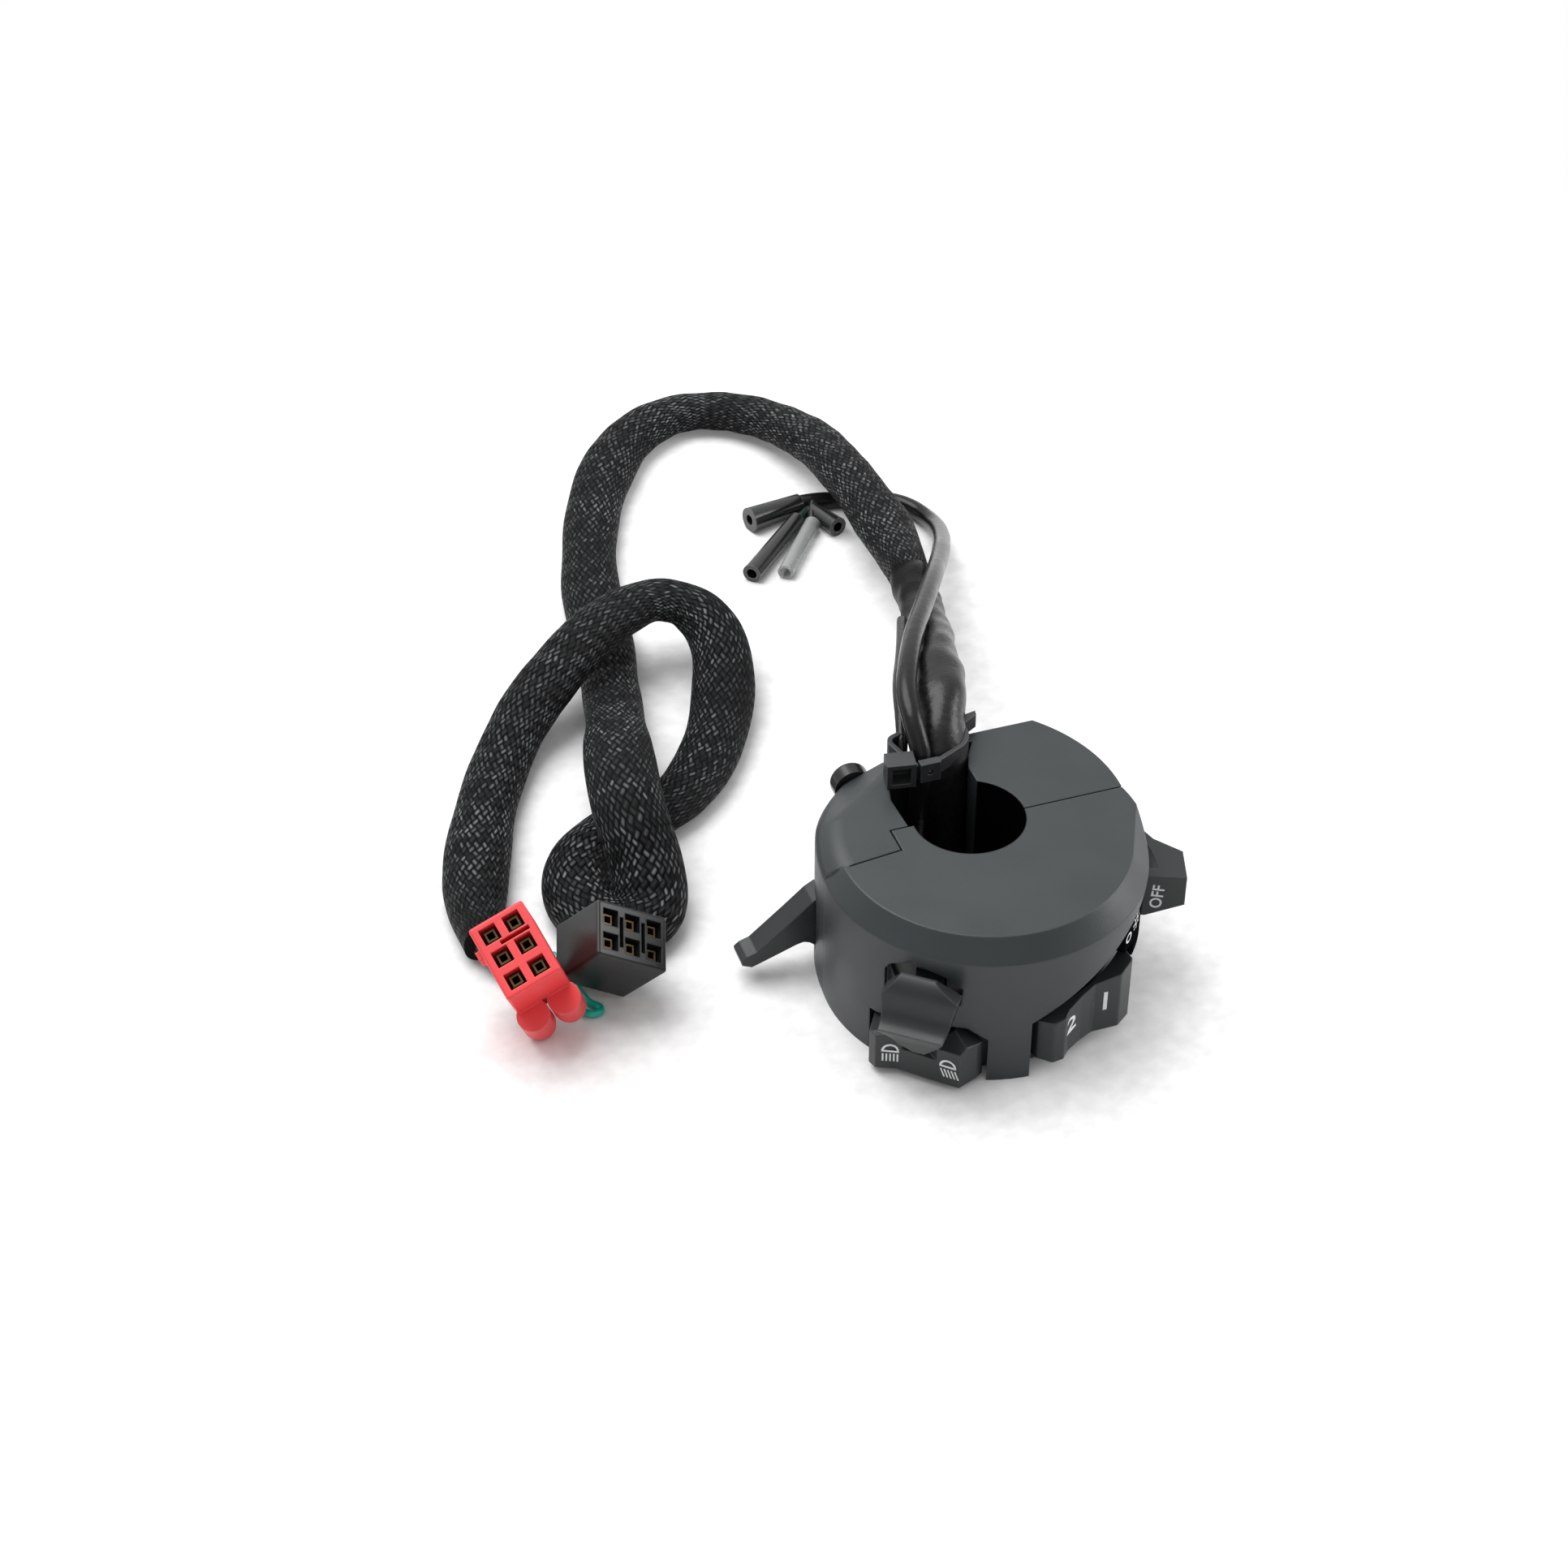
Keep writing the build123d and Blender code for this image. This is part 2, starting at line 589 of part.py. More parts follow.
beam_opening = stretched(beam_opening_shares, beam_length, beam_height)
window_bottom = beam_shank_bottom - running_gap
window_top = beam_shank_top + running_gap
window_half = beam_shank_half + shank_side_gap
mode_half = mode_shank_half + shank_side_gap
front_cuts = [
    recess_cut.part,
    wall_block(beam_opening, beam_angle, beam_floor_radius, arc_radius * 2),
    wall_box(beam_angle, -window_half, window_half, window_bottom, window_top,
             beam_inner_wall - overrun, beam_floor_radius + overrun),
    wall_box(mode_angle, -mode_half, mode_half, mode_shank_bottom - running_gap, mode_shank_top + running_gap,
             recess_inner - overrun, recess_radius + overrun),
    wall_block(stretched(pocket_shares, paddle_width, case_height), turn_angle, arc_radius - pocket_depth,
               arc_radius * 2),
    wall_block(stretched(window_shares, paddle_width, case_height), turn_angle, shutter_outer, arc_radius * 2),
    sector_block(recess_inner - overrun, recess_radius + overrun, web_angle - lever_travel_angle - running_gap * 2,
                 web_sweep_angle + lever_travel_angle + running_gap * 4, web_bottom - running_gap, web_top + running_gap),
    pin_column(mode_angle, rocker_tilt_pin + pin_gap, mode_pivot_radius, mode_pin_bottom, mode_pin_top),
    pin_column(beam_angle, rocker_tilt_pin + pin_gap, beam_pivot_radius, beam_pin_bottom, beam_pin_top),
]

with BuildPart() as front_case:
    with BuildSketch():
        add(case_outline())
        add(split_region(-1), mode=Mode.INTERSECT)
    extrude(amount=case_height)
    add(rim_chamfer.part, mode=Mode.SUBTRACT)
    add(rim_blend.part, mode=Mode.SUBTRACT)
    with BuildSketch():
        Circle(bar_radius)
    extrude(amount=case_height, mode=Mode.SUBTRACT)
    add(case_cavity.part, mode=Mode.SUBTRACT)
    for cut in front_cuts:
        add(cut, mode=Mode.SUBTRACT)
    for x in screw_x:
        add(screw_column(x, screw_radius + pin_gap, back_y, screw_end_y), mode=Mode.SUBTRACT)
front_case.part.label = "front_case"
export_step(front_case.part, "parts/front_case.step")

with BuildPart() as rear_case:
    with BuildSketch():
        add(case_outline())
        add(split_region(1), mode=Mode.INTERSECT)
    extrude(amount=case_height)
    shoulder = rear_case.edges().group_by(Axis.Z)[-1].filter_by(GeomType.CIRCLE).sort_by(Axis.X)[0]
    fillet(shoulder, radius=shoulder_radius)
    split(bisect_by=slope_plane, keep=Keep.BOTTOM)
    fillet(rear_case.edges().sort_by_distance(slope_start + slope_along / 2)[0], radius=slope_round)
    with BuildSketch():
        Circle(bar_radius)
    extrude(amount=case_height, mode=Mode.SUBTRACT)
    add(case_cavity.part, mode=Mode.SUBTRACT)
    add(seam_groove.part, mode=Mode.SUBTRACT)
    with BuildSketch(Plane.XY.offset(slot_sill)):
        with BuildLine():
            Polyline(*scaled(slot_shares, arc_radius), close=True)
        make_face()
    extrude(amount=case_height, mode=Mode.SUBTRACT)
    with BuildSketch(Plane.XY.offset(case_wall)):
        with BuildLine():
            inner_line = [(x, min(y, back_y - case_wall)) for x, y in scaled(slot_shares, arc_radius)]
            Polyline(*inner_line, close=True)
        make_face()
    extrude(amount=case_height, mode=Mode.SUBTRACT)
    add(trigger_window.part, mode=Mode.SUBTRACT)
    for x in screw_x:
        add(screw_column(x, screw_radius + running_gap / 2, back_y, screw_end_y), mode=Mode.SUBTRACT)
    add(trigger_column(trigger_pin_radius + pin_gap, pin_front_y, pin_back_y), mode=Mode.SUBTRACT)
rear_case.part.label = "rear_case"
export_step(rear_case.part, "parts/rear_case.step")


def plan_points(shares, length):
    """Shares of (length, arc radius) as points on a plan plane, whose y runs back to the arc centre."""
    return stretched(shares, length, -arc_radius)


def column_at(plane, radius, length):
    """Cylinder that starts on a plane."""
    with BuildPart() as column:
        with BuildSketch(plane):
            Circle(radius)
        extrude(amount=length)
    return column.part


def coil(plane, radius, length, turns):
    """Wound spring that stands on a plane."""
    with BuildPart() as wound:
        with BuildLine():
            path = Helix(pitch=(length - spring_wire) / turns, height=length - spring_wire, radius=radius)
        with BuildSketch(Plane(origin=path @ 0, z_dir=path % 0)):
            Circle(spring_wire / 2)
        sweep(path=path, is_frenet=True)
    return (plane * Pos(0, 0, spring_wire / 2)) * wound.part


def route_radii(route):
    """Bend radii that leave room for each neighbouring bend."""
    points = [Vector(*point) for point in route]
    radii = []
    for before, here, after in zip(points, points[1:], points[2:]):
        arriving = here - before
        leaving = after - here
        turn = math.radians(arriving.get_angle(leaving))
        radii.append(bend_share * min(arriving.length, leaving.length) / math.tan(turn / 2))
    return radii


def cord(name, route, diameter):
    """Round cord along a route, and its radii and volume for the report."""
    radii = route_radii(route)
    with BuildPart() as tube:
        with BuildLine():
            path = FilletPolyline(*route, radius=radii)
        with BuildSketch(Plane(origin=path @ 0, z_dir=path % 0)):
            Circle(diameter / 2)
        sweep()
    share = tube.part.volume / (path.length * math.pi * diameter ** 2 / 4)
    print(name, "length", round(path.length, 1), "volume share", round(share, 3),
          "radii", [round(radius, 1) for radius in radii])
    return tube.part


# Screws: pan heads on the flat back
with BuildPart() as case_screws:
    for x in screw_x:
        with BuildSketch(Plane.XZ.offset(-back_y)):
            with Locations((x, screw_z)):
                Circle(screw_radius)
        extrude(amount=back_y - screw_end_y)
        with BuildSketch(Plane.XZ.offset(-back_y - screw_head_height)):
            with Locations((x, screw_z)):
                Circle(screw_head_radius)
        extrude(amount=screw_head_height)
    fillet(case_screws.faces().sort_by(Axis.Y)[-2:].edges(), radius=screw_slot)
    with BuildSketch(Plane.XZ.offset(-back_y - screw_head_height)):
        for x in screw_x:
            with Locations((x, screw_z)):
                Rectangle(screw_head_radius, screw_slot)
                Rectangle(screw_slot, screw_head_radius)
    extrude(amount=screw_head_height / 2, mode=Mode.SUBTRACT)
case_screws.part.label = "case_screws"
export_step(case_screws.part, "parts/case_screws.step")

# Mode rocker, its pin and its contact base
with BuildPart() as mode_rocker:
    with BuildSketch(plan_plane(mode_angle)):
        with BuildLine():
            Polyline(*plan_points(mode_plan_shares, mode_length), close=True)
        make_face()
    extrude(amount=case_height)
    with BuildSketch(wall_plane(mode_angle)):
        with BuildLine():
            left = mode_plan_shares[0][0] * mode_length
            right = mode_plan_shares[-1][0] * mode_length
            Polyline((left, mode_bottom), (left, mode_top_left), (right, mode_top_right), (right, mode_bottom),
                     close=True)
        make_face()
    extrude(amount=arc_radius * 2, mode=Mode.INTERSECT)
    add(pin_column(0, mode_inner_radius, 0, 0, case_height), mode=Mode.SUBTRACT)
    fillet(mode_rocker.edges().filter_by(Axis.Z).sort_by_distance((arc_x, arc_y, 0))[-5:], radius=mode_round)
    add(wall_box(mode_angle, -mode_shank_half, mode_shank_half, mode_shank_bottom, mode_shank_top,
                 mode_shank_end, mode_inner_radius + mode_round))
    add(pin_column(mode_angle, rocker_tilt_pin + pin_gap, mode_pivot_radius, 0, case_height), mode=Mode.SUBTRACT)
mode_rocker.part.label = "mode_rocker"
export_step(mode_rocker.part, "parts/mode_rocker.step")

with BuildPart() as mode_pin:
    add(pin_column(mode_angle, rocker_tilt_pin, mode_pivot_radius, mode_pin_bottom, mode_pin_top))
mode_pin.part.label = "mode_pin"
export_step(mode_pin.part, "parts/mode_pin.step")


def contact_pads(angle, radius, spacing, height):
    """Two contacts that stand a little proud of a contact base."""
    return [wall_box(angle, along - contact_size / 2, along + contact_size / 2, height - contact_size,
                     height + contact_size, radius - contact_size, radius) for along in (-spacing, spacing)]


with BuildPart() as mode_switch:
    add(sector_block(mode_base_inner, mode_base_outer, mode_base_angle, mode_base_sweep_angle, case_wall, mode_base_top))
    for pad in contact_pads(mode_angle, mode_base_outer, mode_shank_half * contact_share, mode_shank_top / 2):
        add(pad)
mode_switch.part.label = "mode_switch"
export_step(mode_switch.part, "parts/mode_switch.step")

# Beam rocker, its pin and its contact base
with BuildPart() as beam_rocker:
    with BuildSketch(plan_plane(beam_angle)):
        with BuildLine():
            Polyline(*plan_points(beam_plan_shares, beam_length), close=True)
        make_face()
    extrude(amount=case_height)
    face_points = stretched(beam_face_shares, beam_length, beam_height)
    with BuildSketch(wall_plane(beam_angle)):
        with BuildLine():
            Polyline(*face_points, close=True)
        make_face()
    extrude(amount=arc_radius * 2, mode=Mode.INTERSECT)
    profile = stretched(beam_profile_shares, arc_radius, beam_height)
    with BuildSketch(side_plane(beam_angle)):
        with BuildLine():
            Polyline(*profile, close=True)
        make_face()
    extrude(amount=beam_length, both=True, mode=Mode.INTERSECT)
    add(pin_column(beam_angle, beam_scoop_radius, beam_scoop_centre, beam_scoop_bottom, case_height),
        mode=Mode.SUBTRACT)
    add(wall_box(beam_angle, -beam_shank_half, beam_shank_half, beam_shank_bottom, beam_shank_top,
                 beam_shank_end, beam_inner_radius + beam_round))
    add(pin_column(beam_angle, rocker_tilt_pin + pin_gap, beam_pivot_radius, 0, beam_pin_top), mode=Mode.SUBTRACT)
beam_rocker.part.label = "beam_rocker"
export_step(beam_rocker.part, "parts/beam_rocker.step")

with BuildPart() as beam_pin:
    add(pin_column(beam_angle, rocker_tilt_pin, beam_pivot_radius, beam_pin_bottom, beam_pin_top))
beam_pin.part.label = "beam_pin"
export_step(beam_pin.part, "parts/beam_pin.step")

with BuildPart() as beam_switch:
    add(sector_block(beam_base_inner, beam_base_outer, beam_base_angle, beam_base_sweep_angle, case_wall, beam_base_top))
    for pad in contact_pads(beam_angle, beam_base_outer, beam_shank_half * contact_share, beam_shank_top / 2):
        add(pad)
beam_switch.part.label = "beam_switch"
export_step(beam_switch.part, "parts/beam_switch.step")

# Turn signal: paddle, carrier, base with its rails and detent
stem_middle = (stem_left + stem_right) / 2
stem_height = (stem_bottom + stem_top) / 2
socket_left = stem_left - running_gap - socket_wall
socket_right = stem_right + running_gap + socket_wall
socket_bottom = stem_bottom - running_gap - socket_wall
socket_top = stem_top + running_gap + socket_wall

with BuildPart() as turn_paddle:
    with BuildSketch(side_plane(turn_angle)):
        with BuildLine():
            front_line = Spline(*stretched(paddle_front_shares, arc_radius, case_height))
            Polyline(front_line @ 1, *stretched(paddle_under_shares, arc_radius, case_height), front_line @ 0)
        make_face()
    extrude(amount=paddle_width, both=True)
    with BuildSketch(wall_plane(turn_angle)):
        with BuildLine():
            Polyline(*stretched(paddle_face_shares, paddle_width, case_height), close=True)
        make_face()
    extrude(amount=arc_radius * 2, mode=Mode.INTERSECT)
    add(wall_box(turn_angle, stem_left, stem_right, stem_bottom, stem_top, stem_end, paddle_rear + stem_overlap))
    bore_plane = wall_plane(turn_angle, stem_end)
    spring_place = Plane(bore_plane.from_local_coords((stem_middle, stem_height, 0)), z_dir=bore_plane.z_dir)
    add(column_at(spring_place, stem_bore_radius, stem_bore_end - stem_end), mode=Mode.SUBTRACT)
turn_paddle.part.label = "turn_paddle"
export_step(turn_paddle.part, "parts/turn_paddle.step")

with BuildPart() as turn_carrier:
    add(wall_block(stretched(shutter_shares, paddle_width, case_height), turn_angle, shutter_inner,
                   shutter_outer))
    add(wall_box(turn_angle, socket_left, socket_right, socket_bottom, socket_top, socket_end,
                 shutter_inner + stem_overlap))
    add(wall_box(turn_angle, stem_left - running_gap, stem_right + running_gap, stem_bottom - running_gap,
                 stem_top + running_gap, socket_floor, arc_radius), mode=Mode.SUBTRACT)
turn_carrier.part.label = "turn_carrier"
export_step(turn_carrier.part, "parts/turn_carrier.step")

with BuildPart() as cancel_spring:
    floor_plane = wall_plane(turn_angle, socket_floor)
    floor_place = Plane(floor_plane.from_local_coords((stem_middle, stem_height, 0)), z_dir=floor_plane.z_dir)
    add(coil(floor_place, stem_bore_radius - spring_wire, stem_bore_end - socket_floor, cancel_turns))
cancel_spring.part.label = "cancel_spring"
export_step(cancel_spring.part, "parts/cancel_spring.step")

with BuildPart() as turn_base:
    add(wall_box(turn_angle, -base_half, base_half, case_wall, cavity_top, base_inner, base_outer))
    for edge in (socket_left - running_gap - rail_thickness, socket_right + running_gap):
        add(wall_box(turn_angle, edge, edge + rail_thickness, rail_bottom, cavity_top, base_outer, rail_outer))
    seat_plane = wall_plane(turn_angle, base_outer - detent_seat_depth)
    seat_place = Plane(seat_plane.from_local_coords((stem_middle, stem_height, 0)), z_dir=seat_plane.z_dir)
    add(column_at(seat_place, detent_ball_radius + detent_slack, detent_seat_depth), mode=Mode.SUBTRACT)
turn_base.part.label = "turn_base"
export_step(turn_base.part, "parts/turn_base.step")

with BuildPart() as turn_detent_ball:
    ball_plane = wall_plane(turn_angle, socket_end - running_gap - detent_ball_radius)
    ball_place = ball_plane.from_local_coords((stem_middle, stem_height, 0))
    with Locations(ball_place):
        Sphere(detent_ball_radius)
turn_detent_ball.part.label = "turn_detent_ball"
export_step(turn_detent_ball.part, "parts/turn_detent_ball.step")

turn_detent_length = (socket_end - running_gap - detent_ball_radius * 2) - (base_outer - detent_seat_depth)
with BuildPart() as turn_detent_spring:
    add(coil(seat_place, detent_ball_radius - spring_wire, turn_detent_length + detent_press, detent_turns))
turn_detent_spring.part.label = "turn_detent_spring"
export_step(turn_detent_spring.part, "parts/turn_detent_spring.step")

# Passing trigger with its pin, its switch and its return spring
with BuildPart() as trigger_lever:
    with BuildSketch(Plane.XZ.offset(-trigger_back_y)):
        with BuildLine():
            blade = scaled(trigger_blade_shares, trigger_length)
            Polyline(*[(trigger_pivot_x + x, trigger_pivot_z + z) for x, z in blade], close=True)
        make_face()
        with Locations((trigger_pivot_x, trigger_pivot_z)):
            Circle(trigger_barrel_radius)
    extrude(amount=trigger_back_y - trigger_front_y)
    add(trigger_column(trigger_pin_radius + pin_gap, trigger_front_y, trigger_back_y), mode=Mode.SUBTRACT)
trigger_lever.part.label = "trigger_lever"
export_step(trigger_lever.part, "parts/trigger_lever.step")

with BuildPart() as trigger_pin:
    add(trigger_column(trigger_pin_radius, pin_front_y, pin_back_y))
trigger_pin.part.label = "trigger_pin"
export_step(trigger_pin.part, "parts/trigger_pin.step")

trigger_middle = (trigger_front_y + trigger_back_y) / 2
with BuildPart() as trigger_switch:
    with BuildSketch(Plane.XZ.offset(-trigger_back_y)):
        with BuildLine():
            Polyline((micro_face_x, micro_bottom), (micro_face_x + micro_depth, micro_bottom),
                     (micro_face_x + micro_depth, micro_top), (micro_face_x, micro_top), close=True)
        make_face()
    extrude(amount=trigger_back_y - trigger_front_y)
    plunger = Plane((micro_face_x, trigger_middle, plunger_z), z_dir=(-1, 0, 0))
    add(column_at(plunger, plunger_radius, plunger_length))
trigger_switch.part.label = "trigger_switch"
export_step(trigger_switch.part, "parts/trigger_switch.step")

with BuildPart() as trigger_spring:
    spring_foot = Plane((micro_face_x, trigger_middle, return_spring_z), z_dir=(-1, 0, 0))
    add(coil(spring_foot, return_spring_radius, return_spring_length, return_turns))
trigger_spring.part.label = "trigger_spring"
export_step(trigger_spring.part, "parts/trigger_spring.step")

# Light lever, the marked band beside it, and its contact base with the detent
with BuildPart() as light_lever:
    with BuildSketch():
        with BuildLine():
            places = [(arc_x + share * arc_radius * math.cos(math.radians(angle)),
                       arc_y + share * arc_radius * math.sin(math.radians(angle))) for angle, share in lever_outline]
            Polyline(*places)
            lip_sweep = lever_wall_angle - lever_outline[-1][0]
            lip = CenterArc((arc_x, arc_y), lever_lip_share * arc_radius, lever_outline[-1][0], lip_sweep)
            Line(places[-1], lip @ 0)
            wall_end = CenterArc((arc_x, arc_y), lever_outline[0][1] * arc_radius, lever_outline[0][0],
                                 lever_wall_angle - lever_outline[0][0])
            Line(lip @ 1, wall_end @ 1)
        make_face()
    extrude(amount=lever_top)
    under = stretched(lever_under_shares, arc_radius, lever_top)
    with BuildSketch(side_plane(lever_angle)):
        with BuildLine():
            Polyline(*under, close=True)
        make_face()
    extrude(amount=arc_radius, both=True, mode=Mode.INTERSECT)
    add(sector_block(lever_arm_inner, lever_arm_outer, lever_arm_angle, lever_arm_sweep_angle, lever_arm_bottom,
                     lever_arm_top))
    add(sector_block(flange_outer - stem_overlap, lever_arm_inner + stem_overlap, web_angle, web_sweep_angle, web_bottom,
                     web_top))
    add(sector_block(flange_inner, flange_outer, web_angle - flange_margin_angle,
                     web_sweep_angle + flange_margin_angle * 2, web_bottom - flange_margin, web_top + flange_margin))
light_lever.part.label = "light_lever"
export_step(light_lever.part, "parts/light_lever.step")

with BuildPart() as light_band:
    add(sector_block(recess_radius, band_outer, band_angle, band_sweep_angle, band_bottom,
                     recess_top - band_gap))
    add(sector_block(recess_inner, arc_radius, band_angle - overrun, band_notch_angle + overrun, 0, band_notch_top),
        mode=Mode.SUBTRACT)
    split(bisect_by=ceiling.offset(-band_gap), keep=Keep.BOTTOM)
light_band.part.label = "light_band"
export_step(light_band.part, "parts/light_band.step")

light_seat_angle = web_angle + web_sweep_angle / 2
light_seat_plane = wall_plane(light_seat_angle, light_base_outer - detent_seat_depth)
light_middle = (web_bottom + web_top) / 2
light_seat = Plane(light_seat_plane.from_local_coords((0, light_middle, 0)), z_dir=light_seat_plane.z_dir)
with BuildPart() as light_base:
    add(sector_block(light_base_inner, light_base_outer, light_base_angle, light_base_sweep_angle, case_wall,
                     light_base_top))
    add(column_at(light_seat, detent_ball_radius + detent_slack, detent_seat_depth * 2), mode=Mode.SUBTRACT)
light_base.part.label = "light_base"
export_step(light_base.part, "parts/light_base.step")

with BuildPart() as light_detent_ball:
    ball_plane = wall_plane(light_seat_angle, flange_inner - pin_gap * 5 - detent_ball_radius)
    with Locations(ball_plane.from_local_coords((0, light_middle, 0))):
        Sphere(detent_ball_radius)
light_detent_ball.part.label = "light_detent_ball"
export_step(light_detent_ball.part, "parts/light_detent_ball.step")

light_spring_length = flange_inner - pin_gap * 5 - detent_ball_radius * 2 - (light_base_outer - detent_seat_depth)
with BuildPart() as light_detent_spring:
    add(coil(light_seat, detent_ball_radius - spring_wire, light_spring_length + detent_press, light_turns))
light_detent_spring.part.label = "light_detent_spring"
export_step(light_detent_spring.part, "parts/light_detent_spring.step")


def block(plane, left, right, bottom, top, near, far):
    """Straight block on any plane, between two depths below it."""
    with BuildPart() as solid:
        with BuildSketch(plane.offset(-far)):
            with BuildLine():
                Polyline((left, bottom), (right, bottom), (right, top), (left, top), close=True)
            make_face()
        extrude(amount=far - near)
    return solid.part


def grid(columns, rows):
    """Centres of a connector's cavities on its face."""
    return [((column - (columns - 1) / 2) * cavity_pitch, (row - (rows - 1) / 2) * cavity_pitch)
            for column in range(columns) for row in range(rows)]


def connector_body(plane, width, height, columns, rows):
    """Connector shell with open cavities and a recess for its wires."""
    with BuildPart() as shell:
        add(block(plane, -width / 2, width / 2, -height / 2, height / 2, 0, connector_depth))
        fillet(shell.edges(), radius=connector_round)
        for x, y in grid(columns, rows):
            half = cavity_size / 2
            add(block(plane, x - half, x + half, y - half, y + half, -overrun, cavity_depth), mode=Mode.SUBTRACT)
        rim = connector_round * 2
        add(block(plane, rim - width / 2, width / 2 - rim, rim - height / 2, height / 2 - rim,
                  connector_depth - wire_recess, connector_depth + overrun), mode=Mode.SUBTRACT)
    return shell.part


def connector_terminals(plane, columns, rows):
    """Square brass sockets at the back of each cavity."""
    solids = []
    outer = terminal_size / 2
    inner = outer - terminal_wall
    for x, y in grid(columns, rows):
        tube = block(plane, x - outer, x + outer, y - outer, y + outer, terminal_recess, cavity_depth)
        hollow = block(plane, x - inner, x + inner, y - inner, y + inner, 0, cavity_depth - terminal_wall)
        solids.append(tube - hollow)
    return solids


red_drop = (connector_depth + boss_reach - boss_radius) * red_face_share[2] + boss_radius
red_drop += (connector_long / 2 + boss_offset) * math.sqrt(1 - red_width_share[2] ** 2 - red_face_share[2] ** 2)
red_drop += boss_spread * red_width_share[2]
red_plane = Plane((*red_place, red_drop), x_dir=red_width_share, z_dir=red_face_share)
black_rise = math.sqrt(1 - black_width_share[2] ** 2 - black_face_share[2] ** 2)
black_drop = connector_depth * black_face_share[2] + connector_short / 2 * black_rise
black_drop -= connector_long / 2 * black_width_share[2]
black_plane = Plane((*black_place, black_drop), x_dir=black_width_share, z_dir=black_face_share)

with BuildPart() as red_connector:
    add(connector_body(red_plane, connector_short, connector_long, 2, 3))
    for x in (-boss_spread, boss_spread):
        boss_start = connector_depth - boss_overlap
        place = red_plane.from_local_coords((x, -connector_long / 2 - boss_offset, -boss_start))
        boss_plane = Plane(place, z_dir=-red_plane.z_dir)
        add(column_at(boss_plane, boss_radius, boss_reach + boss_overlap - boss_radius))
        with Locations(place - red_plane.z_dir * (boss_reach + boss_overlap - boss_radius)):
            Sphere(boss_radius)
    add(block(red_plane, -connector_short / 2 - nub_size / 2, -connector_short / 2 + nub_size, nub_size,
              nub_size * 2, nub_size, nub_size * 3))
    add(block(red_plane, -slot_run, connector_short / 2 - connector_round * 2, cavity_pitch / 2 - rib_slot_width / 2,
              cavity_pitch / 2 + rib_slot_width / 2, -overrun, rib_slot_depth), mode=Mode.SUBTRACT)
red_connector.part.label = "red_connector"
export_step(red_connector.part, "parts/red_connector.step")

with BuildPart() as red_terminals:
    for solid in connector_terminals(red_plane, 2, 3):
        add(solid)
red_terminals.part.label = "red_terminals"
export_step(red_terminals.part, "parts/red_terminals.step")

with BuildPart() as black_connector:
    add(connector_body(black_plane, connector_long, connector_short, 3, 2))
    for x in (-cavity_pitch / 2, cavity_pitch / 2):
        add(block(black_plane, x - rib_slot_width / 2, x + rib_slot_width / 2, -slot_run * 2, slot_run * 2,
                  -overrun, rib_slot_depth), mode=Mode.SUBTRACT)
black_connector.part.label = "black_connector"
export_step(black_connector.part, "parts/black_connector.step")

with BuildPart() as black_terminals:
    for solid in connector_terminals(black_plane, 3, 2):
        add(solid)
black_terminals.part.label = "black_terminals"
export_step(black_terminals.part, "parts/black_terminals.step")

# Cords
with BuildPart() as taped_trunk:
    add(cord("taped_trunk", trunk_route, trunk_diameter))
taped_trunk.part.label = "taped_trunk"
export_step(taped_trunk.part, "parts/taped_trunk.step")

with BuildPart() as braided_sleeve:
    add(cord("braided_sleeve", sleeve_route, sleeve_diameter))
braided_sleeve.part.label = "braided_sleeve"
export_step(braided_sleeve.part, "parts/braided_sleeve.step")

with BuildPart() as lead_tube:
    add(cord("lead_tube", lead_route, lead_diameter))
lead_tube.part.label = "lead_tube"
export_step(lead_tube.part, "parts/lead_tube.step")

with BuildPart() as side_strand:
    add(cord("side_strand", strand_route, strand_diameter))
side_strand.part.label = "side_strand"
export_step(side_strand.part, "parts/side_strand.step")

with BuildPart() as red_wires:
    add(cord("red_wires", red_loom_route, loom_diameter))
red_wires.part.label = "red_wires"
export_step(red_wires.part, "parts/red_wires.step")

with BuildPart() as black_wires:
    add(cord("black_wires", black_loom_route, loom_diameter))
black_wires.part.label = "black_wires"
export_step(black_wires.part, "parts/black_wires.step")


def boot(name):
    """Tapered boot that lies on the floor, open at its far end."""
    start, end, start_radius, end_radius = boot_places[name]
    direction = Vector(*end, end_radius) - Vector(*start, start_radius)
    near = Plane((*start, start_radius), z_dir=direction)
    far = near.offset(direction.length)
    with BuildPart() as cone:
        with BuildSketch(near):
            Circle(start_radius)
        with BuildSketch(far):
            Circle(end_radius)
        loft()
        with BuildSketch(far):
            Circle(boot_bore_radius)
        extrude(amount=-boot_bore_depth, mode=Mode.SUBTRACT)
    return cone.part


with BuildPart() as lead_boot:
    add(boot("lead_boot"))
lead_boot.part.label = "lead_boot"
export_step(lead_boot.part, "parts/lead_boot.step")

with BuildPart() as long_boot:
    add(boot("long_boot"))
long_boot.part.label = "long_boot"
export_step(long_boot.part, "parts/long_boot.step")

with BuildPart() as clear_sleeve:
    add(boot("clear_sleeve"))
clear_sleeve.part.label = "clear_sleeve"
export_step(clear_sleeve.part, "parts/clear_sleeve.step")

with BuildPart() as short_boot:
    add(boot("short_boot"))
short_boot.part.label = "short_boot"
export_step(short_boot.part, "parts/short_boot.step")

with BuildPart() as boot_stubs:
    for index, route in enumerate(stub_routes):
        add(cord("boot_stub", route, stub_diameter))
boot_stubs.part.label = "boot_stubs"
export_step(boot_stubs.part, "parts/boot_stubs.step")

